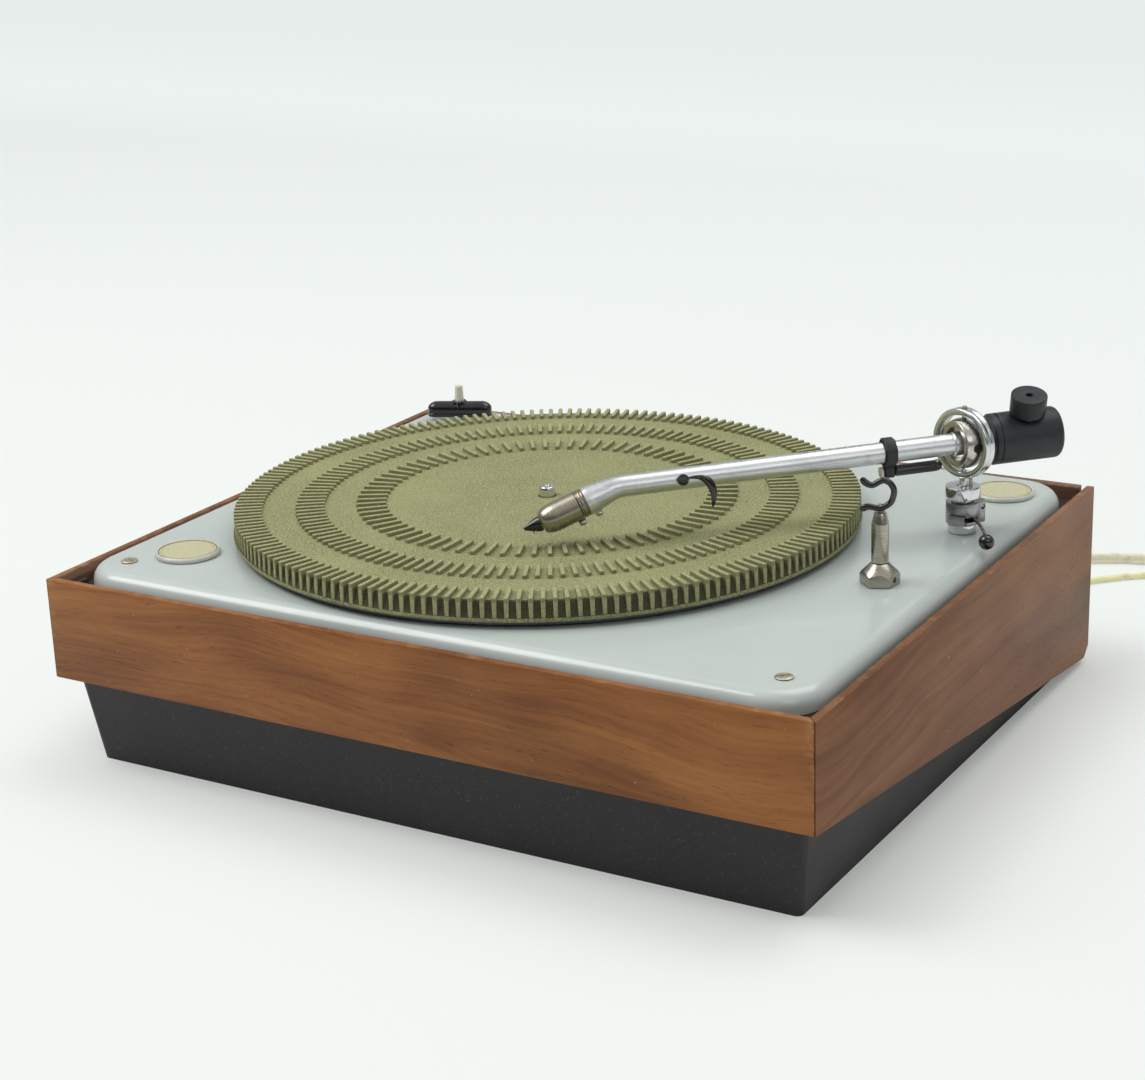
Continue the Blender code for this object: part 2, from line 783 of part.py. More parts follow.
def add_plate(looks):
    shape = bmesh.new()
    outer, inner = plate_skin(0, EDGE_STEPS), plate_skin(PLATE_SHEET, EDGE_STEPS - 1)
    rows = [[shape.verts.new(point) for point in ring] for ring in outer[::-1] + inner]
    for low, high in zip(rows, rows[1:]):
        skin(shape, low, high)
    shape.faces.new(rows[0])
    shape.faces.new(rows[-1])
    bmesh.ops.recalc_face_normals(shape, faces=shape.faces)
    plate = add("top_plate", shape, looks["enamel"])
    low, high = PLATE_TOP - PLATE_SHEET - OVERRUN, PLATE_TOP + OVERRUN
    holes = [
        ((PLATTER_X, PLATTER_Y), BEARING_RADIUS + SEAT_GAP),
        (motor_place(), MOTOR_OPENING),
        (lever_pivot(), LEVER_POST_RADIUS + SEAT_GAP),
        ((SELECTOR_X, SELECTOR_Y), SELECTOR_SHAFT_RADIUS + SEAT_GAP),
        ((ARM_X, ARM_Y), ARM_SHANK_RADIUS + SEAT_GAP),
        ((REST_X, REST_Y), REST_STUD_RADIUS + SEAT_GAP),
    ]
    cutters = screw_holes(low, high)
    for place, radius in holes:
        hole = rod(radius, low, high, SMALL_SIDES)
        hole.transform(Matrix.Translation((place[0], place[1], 0)))
        cutters.append(hole)
    cut(plate, *cutters)


def add_plate_screws(looks):
    head, radius = PLATE_TOP + SEAT_GAP, SCREW_HEAD_RADIUS
    top = head + SCREW_HEAD_HEIGHT
    profile = [
        (SCREW_SHANK_RADIUS, head + SEAT_GAP - SCREW_LENGTH),
        (SCREW_SHANK_RADIUS, head),
        (radius, head),
        (radius, head + SCREW_HEAD_HEIGHT / 2),
        (radius * 2 / 3, top),
    ]
    for name, side in (("left_plate_screw", -1), ("right_plate_screw", 1)):
        place = (side * PLATE_SCREW_X, -PLATE_SCREW_Y, 0)
        screw = add(name, turned(profile, SMALL_SIDES), looks["brass"], place)
        slot = block(
            (-radius - OVERRUN, -SCREW_SLOT_WIDTH / 2, top - SCREW_SLOT_DEPTH),
            (radius + OVERRUN, SCREW_SLOT_WIDTH / 2, top + OVERRUN),
        )
        slot.transform(Matrix.Rotation(side * pi / 4, 4, "Z"))
        cut(screw, slot)


def add_badges(looks):
    face = BADGE_HEIGHT - BADGE_LIP
    profile = [
        (0, 0),
        (BADGE_RADIUS, 0),
        (BADGE_RADIUS, face),
        (BADGE_RADIUS - BADGE_LIP, BADGE_HEIGHT),
        (BADGE_RADIUS - BADGE_RIM, BADGE_HEIGHT),
        (BADGE_RADIUS - BADGE_RIM, face),
        (0, face),
    ]
    for name, place in (("front_badge", FRONT_BADGE), ("rear_badge", REAR_BADGE)):
        add(name, turned(profile, ROUND_SIDES), looks["ivory"], (*place, PLATE_TOP + SEAT_GAP))


# Platter group


def platter_underside():
    return MAT_SURFACE - MAT_THICKNESS - SEAT_GAP - PLATTER_SHEET


def platter_rim_radius():
    """Radius of the track inside the rim, which the idler drives."""
    return MAT_WALL_RADIUS - MAT_WALL - SEAT_GAP - PLATTER_RIM_THICKNESS


def add_platter(looks):
    bore = SPINDLE_RADIUS + SEAT_GAP
    lip_top = MAT_FLANGE_BOTTOM - SEAT_GAP
    lip_bottom = lip_top - PLATTER_LIP_THICKNESS
    under, track = platter_underside(), platter_rim_radius()
    wall = track + PLATTER_RIM_THICKNESS
    top = under + PLATTER_SHEET
    profile = [
        (bore, under - HUB_LENGTH),
        (HUB_RADIUS, under - HUB_LENGTH),
        (HUB_RADIUS + HUB_FLARE, under),
        (track, under),
        (track, lip_bottom),
        (PLATTER_LIP_RADIUS, lip_bottom),
        (PLATTER_LIP_RADIUS, lip_top),
        (wall, lip_top),
        (wall, top),
        (bore, top),
    ]
    place = (PLATTER_X, PLATTER_Y, 0)
    add("platter", turned(profile, FINE_SIDES, hollow=True), looks["black_paint"], place)
    nose = SPINDLE_TOP - SPINDLE_NOSE
    profile = [
        (SPINDLE_RADIUS, BEARING_BOTTOM + BEARING_FLOOR + RUNNING_GAP),
        (SPINDLE_RADIUS, nose),
        (SPINDLE_RADIUS * cos(pi / 6), nose + SPINDLE_NOSE * sin(pi / 6)),
        (SPINDLE_RADIUS * cos(pi / 3), nose + SPINDLE_NOSE * sin(pi / 3)),
        (0, SPINDLE_TOP),
    ]
    add("spindle", turned(profile, SMALL_SIDES), looks["chrome"], place)
    profile = [
        (0, BEARING_BOTTOM),
        (BEARING_RADIUS, BEARING_BOTTOM),
        (BEARING_RADIUS, PLATE_TOP + SEAT_GAP),
        (BEARING_FLANGE_RADIUS, PLATE_TOP + SEAT_GAP),
        (BEARING_FLANGE_RADIUS, PLATE_TOP + SEAT_GAP + BEARING_FLANGE_THICKNESS),
        (BEARING_NECK_RADIUS, PLATE_TOP + SEAT_GAP + BEARING_FLANGE_THICKNESS),
        (BEARING_NECK_RADIUS, BEARING_TOP),
        (SPINDLE_RADIUS + RUNNING_GAP, BEARING_TOP),
        (SPINDLE_RADIUS + RUNNING_GAP, BEARING_BOTTOM + BEARING_FLOOR),
        (0, BEARING_BOTTOM + BEARING_FLOOR),
    ]
    add("bearing_housing", turned(profile, SMALL_SIDES), looks["brass"], place)


class Ring:
    """Vertices round the mat's axis, each with its heading, in order."""

    def __init__(self, shape, radius, height, headings):
        self.headings = headings
        self.verts = [shape.verts.new(polar(radius, heading, height)) for heading in headings]


def rib_headings(count, radius):
    """Both edges of every parallel-sided rib, where it crosses a radius."""
    half = RIB_WIDTH / 2 / radius
    return [2 * pi * i / count + side * half for i in range(count) for side in (-1, 1)]


def zip_rings(shape, one, two):
    """Triangles between two rings of unlike counts, always taking the nearer heading next."""
    i = j = 0
    n, m = len(one.verts), len(two.verts)
    while i < n or j < m:
        next_one = one.headings[(i + 1) % n] + 2 * pi * ((i + 1) // n)
        next_two = two.headings[(j + 1) % m] + 2 * pi * ((j + 1) // m)
        a, b = one.verts[i % n], two.verts[j % m]
        if j >= m or (i < n and next_one <= next_two):
            shape.faces.new((a, one.verts[(i + 1) % n], b))
            i += 1
        else:
            shape.faces.new((a, two.verts[(j + 1) % m], b))
            j += 1


def rib_ring(shape, count, ends, foot=None):
    """A ring of raised ribs on the mat. Returns its outer and inner rings on the surface."""
    outer, inner = ends
    out_edges, in_edges = rib_headings(count, outer), rib_headings(count, inner)
    top = MAT_SURFACE + RIB_HEIGHT
    top_outer = Ring(shape, outer, top, out_edges)
    top_inner = Ring(shape, inner, top, in_edges)
    low_inner = Ring(shape, inner, MAT_SURFACE, in_edges)
    rows = foot or [Ring(shape, outer, MAT_SURFACE, out_edges)]
    rows = rows + [low_inner]
    for rib in range(count):
        a, b = 2 * rib, 2 * rib + 1
        c = (b + 1) % (2 * count)
        shape.faces.new((rows[0].verts[a], rows[0].verts[b], top_outer.verts[b], top_outer.verts[a]))
        shape.faces.new((top_outer.verts[a], top_outer.verts[b], top_inner.verts[b], top_inner.verts[a]))
        shape.faces.new((top_inner.verts[a], top_inner.verts[b], low_inner.verts[b], low_inner.verts[a]))
        for edge in (a, b):
            shape.faces.new([row.verts[edge] for row in rows] + [top_inner.verts[edge], top_outer.verts[edge]])
        for row, after in zip(rows, rows[1:]):
            shape.faces.new((row.verts[b], row.verts[c], after.verts[c], after.verts[b]))
    return rows[0], low_inner


def add_mat(looks):
    shape = bmesh.new()
    outer_end = OUTER_RIB_ENDS[0]
    flange_top = MAT_FLANGE_BOTTOM + MAT_FLANGE_THICKNESS
    edges = rib_headings(OUTER_RIB_COUNT, outer_end)
    wall_edges = rib_headings(OUTER_RIB_COUNT, MAT_WALL_RADIUS)
    rim = [6 * pi * i / OUTER_RIB_COUNT for i in range(OUTER_RIB_COUNT // 3)]
    rim_low = Ring(shape, MAT_RADIUS, MAT_FLANGE_BOTTOM, rim)
    rim_top = Ring(shape, MAT_RADIUS, flange_top, rim)
    foot = [
        Ring(shape, outer_end, flange_top, edges),
        Ring(shape, MAT_WALL_RADIUS, MAT_SURFACE, wall_edges),
    ]
    skin(shape, rim_low.verts, rim_top.verts)
    zip_rings(shape, rim_top, foot[0])
    outer_foot, field = rib_ring(shape, OUTER_RIB_COUNT, OUTER_RIB_ENDS, foot)
    middle_out, middle_in = rib_ring(shape, MIDDLE_RIB_COUNT, MIDDLE_RIB_ENDS)
    inner_out, inner_in = rib_ring(shape, INNER_RIB_COUNT, INNER_RIB_ENDS)
    zip_rings(shape, field, middle_out)
    zip_rings(shape, middle_in, inner_out)
    even = [2 * pi * i / SMALL_SIDES for i in range(SMALL_SIDES)]
    fine = [2 * pi * i / FINE_SIDES for i in range(FINE_SIDES)]
    inside = MAT_WALL_RADIUS - MAT_WALL
    hole_top = Ring(shape, MAT_HOLE_RADIUS, MAT_SURFACE, even)
    hole_low = Ring(shape, MAT_HOLE_RADIUS, MAT_SURFACE - MAT_THICKNESS, even)
    cap_low = Ring(shape, inside, MAT_SURFACE - MAT_THICKNESS, fine)
    skirt_low = Ring(shape, inside, MAT_FLANGE_BOTTOM, fine)
    zip_rings(shape, inner_in, hole_top)
    skin(shape, hole_top.verts, hole_low.verts)
    zip_rings(shape, hole_low, cap_low)
    skin(shape, cap_low.verts, skirt_low.verts)
    zip_rings(shape, skirt_low, rim_low)
    bmesh.ops.recalc_face_normals(shape, faces=shape.faces)
    add("mat", shape, looks["mat_rubber"], (PLATTER_X, PLATTER_Y, 0))


# Drive


def idler_place():
    flat = platter_rim_radius() * cos(pi / FINE_SIDES)
    reach = flat - DRIVE_GAP - IDLER_RADIUS
    return Vector((PLATTER_X, PLATTER_Y, 0)) + polar(reach, IDLER_HEADING)


def motor_place():
    reach = IDLER_RADIUS + DRIVE_GAP + PULLEY_RADII[-1]
    return idler_place() + polar(reach, IDLER_HEADING + IDLER_WRAP)


def lever_pivot():
    """The pivot lies so that the idler swings clear of the rim and the pulley together."""
    return idler_place() + polar(LEVER_LENGTH, IDLER_HEADING + (IDLER_WRAP + pi) / 2)


def add_idler(looks):
    idler, pivot = idler_place(), lever_pivot()
    hinge = axis("idler_lever_axis", pivot)
    away = idler - pivot
    heading = atan2(away.y, away.x)
    strip = filleted(
        rectangle(LEVER_WIDTH / 2, -LEVER_WIDTH / 2, LEVER_LENGTH + LEVER_WIDTH / 2),
        LEVER_WIDTH / 2 - RUNNING_GAP,
        EDGE_STEPS,
    )
    shape = prism(strip, LEVER_BOTTOM, LEVER_BOTTOM + LEVER_THICKNESS)
    turn = (0, 0, heading - pi / 2)
    lever = add("idler_lever", shape, looks["steel"], parent=hinge, turn=turn)
    pin = rod(IDLER_PIN_RADIUS, LEVER_BOTTOM + LEVER_THICKNESS / 2, IDLER_PIN_TOP, TINY_SIDES)
    pin.transform(Matrix.Translation((0, LEVER_LENGTH, 0)))
    hole = rod(LEVER_POST_RADIUS + RUNNING_GAP, LEVER_BOTTOM - OVERRUN, LEVER_BOTTOM + OVERRUN, TINY_SIDES)
    cut(lever, hole)
    join(lever, pin)
    head = LEVER_BOTTOM + LEVER_THICKNESS + RUNNING_GAP
    profile = [
        (LEVER_POST_RADIUS, PLATE_TOP - PLATE_SHEET),
        (LEVER_POST_RADIUS, head),
        (LEVER_POST_HEAD, head),
        (LEVER_POST_HEAD, head + LEVER_POST_HEAD_THICKNESS),
    ]
    add("idler_lever_post", turned(profile, TINY_SIDES), looks["steel"], pivot)
    rim = IDLER_RADIUS - TYRE_DEPTH
    bore = IDLER_PIN_RADIUS + RUNNING_GAP
    wheel_top = WHEEL_BOTTOM + WHEEL_THICKNESS
    profile = [
        (bore, WHEEL_BOTTOM),
        (rim - SEAT_GAP, WHEEL_BOTTOM),
        (rim - SEAT_GAP, wheel_top),
        (bore, wheel_top),
    ]
    spin = axis("idler_axis", idler)
    add("idler_wheel", turned(profile, SMALL_SIDES, hollow=True), looks["alloy"], parent=spin)
    profile = [
        (rim, TYRE_BOTTOM),
        (IDLER_RADIUS, TYRE_BOTTOM),
        (IDLER_RADIUS, TYRE_BOTTOM + TYRE_THICKNESS),
        (rim, TYRE_BOTTOM + TYRE_THICKNESS),
    ]
    add("idler_tyre", turned(profile, ROUND_SIDES, hollow=True), looks["black_rubber"], parent=spin)


def add_motor(looks):
    place = motor_place()
    bore = MOTOR_SHAFT_RADIUS + RUNNING_GAP
    profile = [
        (0, MOTOR_BOTTOM),
        (MOTOR_RADIUS - MOTOR_CHAMFER, MOTOR_BOTTOM),
        (MOTOR_RADIUS, MOTOR_BOTTOM + MOTOR_CHAMFER),
        (MOTOR_RADIUS, MOTOR_TOP - MOTOR_CHAMFER),
        (MOTOR_RADIUS - MOTOR_CHAMFER, MOTOR_TOP),
        (bore, MOTOR_TOP),
        (bore, MOTOR_BOTTOM + MOTOR_FLOOR),
        (0, MOTOR_BOTTOM + MOTOR_FLOOR),
    ]
    add("motor_body", turned(profile, SMALL_SIDES), looks["steel"], place)
    low = MOTOR_BOTTOM + MOTOR_FLOOR + RUNNING_GAP
    profile = [(MOTOR_SHAFT_RADIUS, low), (MOTOR_SHAFT_RADIUS, PULLEY_BOTTOM)]
    for step, radius in enumerate(PULLEY_RADII):
        height = PULLEY_BOTTOM + step * PULLEY_STEP
        profile += [(radius, height), (radius, height + PULLEY_STEP)]
    add("motor_pulley", turned(profile, TINY_SIDES), looks["brass"], place)
    low, high = MOTOR_TOP + SEAT_GAP, PLATE_TOP - PLATE_SHEET - SEAT_GAP
    profile = [
        (MOTOR_SEAT_BORE, low),
        (MOTOR_SEAT_RADIUS, low),
        (MOTOR_SEAT_RADIUS, high),
        (MOTOR_SEAT_BORE, high),
    ]
    add("motor_seat", turned(profile, SMALL_SIDES, hollow=True), looks["black_rubber"], place)


# Speed selector


def selector_ring(inset, height):
    """The knob's outline with its round ends, drawn in by the inset."""
    along, across = SELECTOR_LENGTH / 2 - inset, SELECTOR_WIDTH / 2 - inset
    corners = [(-along, -across), (along, -across), (along, across), (-along, across)]
    return at_height(filleted(corners, across - SEAT_GAP, CORNER_STEPS), height)


def add_selector(looks):
    centre = (SELECTOR_X, SELECTOR_Y, 0)
    turning = axis("selector_axis", centre)
    rings = [selector_ring(0, SELECTOR_BOTTOM)]
    for step in range(EDGE_STEPS + 1):
        angle = pi / 2 * step / EDGE_STEPS
        inset = SELECTOR_ROUND * (1 - cos(angle))
        rings.append(selector_ring(inset, SELECTOR_TOP - SELECTOR_ROUND * (1 - sin(angle))))
    turn = (0, 0, SELECTOR_HEADING)
    knob = add("selector_knob", loft(rings), looks["black_gloss"], parent=turning, turn=turn)
    bore = PIN_BASE_RADIUS + RUNNING_GAP
    sunk = SELECTOR_TOP - PIN_SUNK - PIN_TRAVEL - RUNNING_GAP
    cut(knob, rod(bore, sunk, SELECTOR_TOP + OVERRUN, SMALL_SIDES))
    shaft_top = SELECTOR_BOTTOM + 2 * SEAT_GAP
    join(knob, rod(SELECTOR_SHAFT_RADIUS, SELECTOR_SHAFT_BOTTOM, shaft_top, SMALL_SIDES))
    profile = [
        (PIN_BASE_RADIUS, SELECTOR_TOP - PIN_SUNK),
        (PIN_BASE_RADIUS, SELECTOR_TOP),
        (PIN_TIP_RADIUS, SELECTOR_TOP + PIN_HEIGHT - SEAT_GAP),
        (PIN_TIP_RADIUS - SEAT_GAP, SELECTOR_TOP + PIN_HEIGHT),
    ]
    add("selector_pin", turned(profile, SMALL_SIDES), looks["ivory"], parent=turning)
    x, y = SELECTOR_X + SWITCH_OFFSET[0], SELECTOR_Y + SWITCH_OFFSET[1]
    top = PLATE_TOP - PLATE_SHEET - SEAT_GAP
    low = (x - SWITCH_SIDE / 2, y - SWITCH_SIDE / 2, top - SWITCH_HEIGHT)
    high = (x + SWITCH_SIDE / 2, y + SWITCH_SIDE / 2, top)
    switch = add("speed_switch", block(low, high), looks["board"])
    hole_low = SELECTOR_SHAFT_BOTTOM - RUNNING_GAP
    hole = rod(SELECTOR_SHAFT_RADIUS + RUNNING_GAP, hole_low, top + OVERRUN, SMALL_SIDES)
    hole.transform(Matrix.Translation(centre))
    cut(switch, hole)


# Arm pillar, from the plate up to the gimbal


def pivot_tip():
    """Distance of both pivot points from the gimbal's centre."""
    return INNER_RADIUS - PIVOT_CUP_DEPTH + RUNNING_GAP


def clamp_bottom():
    return PLATE_TOP + SEAT_GAP + ARM_BASE_HEIGHT + SEAT_GAP


def add_pillar(looks):
    place = (ARM_X, ARM_Y, 0)
    bore = POST_RADIUS + SEAT_GAP
    seat = PLATE_TOP + SEAT_GAP
    profile = [
        (bore, ARM_SHANK_BOTTOM),
        (ARM_SHANK_RADIUS, ARM_SHANK_BOTTOM),
        (ARM_SHANK_RADIUS, seat),
        (ARM_BASE_RADIUS, seat),
        (ARM_BASE_RADIUS, seat + ARM_BASE_HEIGHT),
        (bore, seat + ARM_BASE_HEIGHT),
    ]
    add("arm_base", turned(profile, SMALL_SIDES, hollow=True), looks["alloy"], place)
    profile = [
        (POST_RADIUS, POST_BOTTOM),
        (POST_RADIUS, DISC_TOP + SEAT_GAP),
        (STEM_RADIUS, DISC_TOP + SEAT_GAP),
        (STEM_RADIUS, ARM_HUB - RING_RADIUS - SEAT_GAP),
        (PIVOT_RADIUS, ARM_HUB - RING_RADIUS - SEAT_GAP),
        (PIVOT_RADIUS, ARM_HUB - pivot_tip()),
    ]
    add("arm_post", turned(profile, SMALL_SIDES), looks["chrome"], place)
    neck = clamp_bottom() + CLAMP_HEIGHT + SEAT_GAP
    profile = [
        (bore, neck),
        (NECK_RADIUS, neck),
        (NECK_RADIUS, neck + NECK_HEIGHT),
        (DISC_RADIUS, neck + NECK_HEIGHT),
        (DISC_RADIUS, DISC_TOP - DISC_EDGE),
        (DISC_RADIUS - DISC_EDGE, DISC_TOP),
        (bore, DISC_TOP),
    ]
    add("disc_collar", turned(profile, ROUND_SIDES, hollow=True), looks["alloy"], place)


def add_clamp(looks):
    place = (ARM_X, ARM_Y, 0)
    low, high = clamp_bottom(), clamp_bottom() + CLAMP_HEIGHT
    half = LUG_WIDTH / 2
    opening = atan2(half, sqrt(CLAMP_RADIUS**2 - half**2))
    outline = []
    for step in range(ROUND_SIDES + 1):
        angle = opening + (2 * pi - 2 * opening) * step / ROUND_SIDES
        outline.append((CLAMP_RADIUS * cos(angle), CLAMP_RADIUS * sin(angle)))
    outline += [(LUG_REACH, -half), (LUG_REACH, half)]
    turn = (0, 0, LUG_HEADING)
    clamp = add("clamp_block", prism(outline, low, high), looks["alloy"], place, turn=turn)
    bore = rod(POST_RADIUS + SEAT_GAP, low - OVERRUN, high + OVERRUN, SMALL_SIDES)
    split = block(
        (0, -CLAMP_SPLIT / 2, low - OVERRUN),
        (LUG_REACH + OVERRUN, CLAMP_SPLIT / 2, high + OVERRUN),
    )
    slot_low = low + LEVER_SLOT_BOTTOM
    slot_high = slot_low + LEVER_SLOT_HEIGHT
    cavity = rod(LEVER_EYE_RADIUS + RUNNING_GAP, slot_low, slot_high, SMALL_SIDES)
    edge = (LEVER_ROD_RADIUS + RUNNING_GAP) / LEVER_EYE_RADIUS
    first = LEVER_HEADING + LEVER_LOW_SWING - edge - LUG_HEADING
    last = LEVER_HEADING + LEVER_HIGH_SWING + edge - LUG_HEADING
    fan = [(0.0, 0.0)]
    for step in range(EDGE_STEPS + 1):
        point = polar(CLAMP_RADIUS + 2 * OVERRUN, first + (last - first) * step / EDGE_STEPS)
        fan.append((point.x, point.y))
    slot = prism(fan, slot_low, slot_high)
    screw = rod(CLAMP_SCREW_RADIUS + SEAT_GAP, -LUG_WIDTH, LUG_WIDTH, TINY_SIDES, ALONG_Y)
    screw.transform(Matrix.Translation((CLAMP_SCREW_REACH, 0, low + CLAMP_SCREW_HEIGHT)))
    cut(clamp, bore, split, cavity, slot, screw)
    profile = [
        (CLAMP_SCREW_RADIUS, -half),
        (CLAMP_SCREW_RADIUS, half + SEAT_GAP),
        (CLAMP_SCREW_HEAD_RADIUS, half + SEAT_GAP),
        (CLAMP_SCREW_HEAD_RADIUS, half + SEAT_GAP + CLAMP_SCREW_HEAD),
    ]
    shape = turned(profile, TINY_SIDES, matrix=ALONG_Y)
    shape.transform(Matrix.Translation((CLAMP_SCREW_REACH, 0, low + CLAMP_SCREW_HEIGHT)))
    add("clamp_screw", shape, looks["steel"], place, turn=turn)


def lever_path(low):
    """The lift lever's rod, from its eye out and down to the ball, in the pillar's frame."""
    level = low + LEVER_EYE_THICKNESS / 2
    start = polar(LEVER_EYE_RADIUS - LEVER_ROD_RADIUS, LEVER_HEADING, level)
    end = polar(LEVER_REACH, LEVER_HEADING + LEVER_TURN, level - LEVER_DROP)
    neck = polar(LEVER_REACH / 3, LEVER_HEADING + LEVER_TURN / 3, level)
    crook = polar(LEVER_REACH * 2 / 3, LEVER_HEADING + LEVER_TURN * 3 / 4, level - LEVER_DROP / 3)
    return start, neck, crook, end


def add_lift_lever(looks):
    turning = axis("lift_lever_axis", (ARM_X, ARM_Y, 0))
    low = clamp_bottom() + LEVER_SLOT_BOTTOM + RUNNING_GAP
    points = lever_path(low)
    path = smooth_path(points, LEVER_REACH / 8)
    towards = (path[-1] - path[-2]).normalized()
    path[-1] = path[-1] - towards * (LEVER_BALL_RADIUS + SEAT_GAP)
    rim = LEVER_EYE_RADIUS
    profile = [
        (POST_RADIUS + RUNNING_GAP, low),
        (rim, low),
        (rim, low + LEVER_EYE_THICKNESS),
        (POST_RADIUS + RUNNING_GAP, low + LEVER_EYE_THICKNESS),
    ]
    eye = add("lift_lever", turned(profile, SMALL_SIDES, hollow=True), looks["chrome"], parent=turning)
    join(eye, swept(path, [LEVER_ROD_RADIUS] * len(path), TINY_SIDES))
    ball = bmesh.new()
    bmesh.ops.create_icosphere(ball, subdivisions=2, radius=LEVER_BALL_RADIUS)
    ball.transform(Matrix.Translation(points[-1]))
    add("lever_ball", ball, looks["black_gloss"], parent=turning)


# Gimbal


def add_gimbal(looks, yoke):
    hub = (ARM_X, ARM_Y, ARM_HUB)
    half, groove = RING_WIDTH / 2, RING_GROOVE_WIDTH / 2
    profile = [
        (RING_BORE, -half),
        (RING_RADIUS, -half),
        (RING_RADIUS, -groove - RING_GROOVE),
        (RING_RADIUS - RING_GROOVE, -groove),
        (RING_RADIUS - RING_GROOVE, groove),
        (RING_RADIUS, groove + RING_GROOVE),
        (RING_RADIUS, half),
        (RING_BORE, half),
    ]
    shape = turned(profile, ROUND_SIDES, hollow=True, matrix=ALONG_X)
    ring = add("gimbal_ring", shape, looks["chrome"], hub, turn=(0, 0, RING_HEADING))
    reach = RING_RADIUS + OVERRUN
    cut(ring, rod(PIVOT_RADIUS + SEAT_GAP, -reach, reach, TINY_SIDES))
    add("top_pivot", rod(PIVOT_RADIUS, pivot_tip(), RING_RADIUS, TINY_SIDES), looks["steel"], hub)
    steps = EDGE_STEPS + 1
    profile = [(INNER_BORE, -INNER_WIDTH / 2)]
    for step in range(steps + 1):
        along = INNER_WIDTH * (step / steps - 1 / 2)
        profile.append((sqrt(INNER_RADIUS**2 - along**2), along))
    profile.append((INNER_BORE, INNER_WIDTH / 2))
    shape = turned(profile, ROUND_SIDES, hollow=True, matrix=ALONG_X)
    inner = add("inner_ring", shape, looks["alloy"], parent=yoke, turn=(0, 0, INNER_OFFSET))
    cup = INNER_RADIUS - PIVOT_CUP_DEPTH
    across = INNER_RADIUS + OVERRUN
    cut(
        inner,
        rod(PIVOT_RADIUS + RUNNING_GAP, cup, across, TINY_SIDES),
        rod(PIVOT_RADIUS + RUNNING_GAP, -across, -cup, TINY_SIDES),
        rod(SIDE_PIVOT_RADIUS + RUNNING_GAP, -across, across, TINY_SIDES, ALONG_Y),
    )


# Arm, in a frame with X along the tube towards the shell


def bend_point(angle):
    return Vector((TUBE_STRAIGHT + BEND_RADIUS * sin(angle), 0, BEND_RADIUS * (cos(angle) - 1)))


def along_and_down(length, angle):
    return Vector((length * cos(angle), 0, -length * sin(angle)))


def flare_end():
    return bend_point(BEND_ANGLE) + along_and_down(FLARE_LENGTH, BEND_ANGLE)


def head_place():
    """The tube's far face, square to the headshell."""
    return flare_end() + along_and_down(FLARE_COLLAR, HEAD_ANGLE)


def add_tube(looks, arm):
    half = TRUNNION_WIDTH / 2
    places = [-SHAFT_END, -TUBE_REAR - SEAT_GAP, -TUBE_REAR]
    places += [-half - SEAT_GAP, -half, half, half + SEAT_GAP, TUBE_STRAIGHT]
    path = [Vector((x, 0, 0)) for x in places]
    radii = [SHAFT_RADIUS, SHAFT_RADIUS, TUBE_RADIUS]
    radii += [TUBE_RADIUS, TRUNNION_RADIUS, TRUNNION_RADIUS, TUBE_RADIUS, TUBE_RADIUS]
    for step in range(1, EDGE_STEPS + 1):
        path.append(bend_point(BEND_ANGLE * step / EDGE_STEPS))
        radii.append(TUBE_RADIUS)
    path += [flare_end(), head_place()]
    radii += [FLARE_RADIUS, FLARE_RADIUS]
    tube = add("arm_tube", swept(path, radii, SMALL_SIDES), looks["alloy"], parent=arm)
    reach = INNER_RADIUS - SEAT_GAP
    pins = rod(SIDE_PIVOT_RADIUS, -reach, reach, TINY_SIDES, ALONG_Y)
    pins.transform(Matrix.Rotation(-ARM_SLOPE, 4, "Y") @ Matrix.Rotation(INNER_OFFSET, 4, "Z"))
    join(tube, pins)


def head_axis(arm):
    """An empty at the tube's far end with X along the headshell."""
    return axis("head_axis", head_place(), (0, HEAD_ANGLE, 0), arm)


def joint_screw(place, seat):
    """A small screw head under the joint, its top against what it holds."""
    screw = rod(JOINT_SCREW_RADIUS, -seat - SEAT_GAP - JOINT_SCREW_HEIGHT, -seat - SEAT_GAP, TINY_SIDES)
    screw.transform(Matrix.Translation((place, 0, 0)))
    return screw


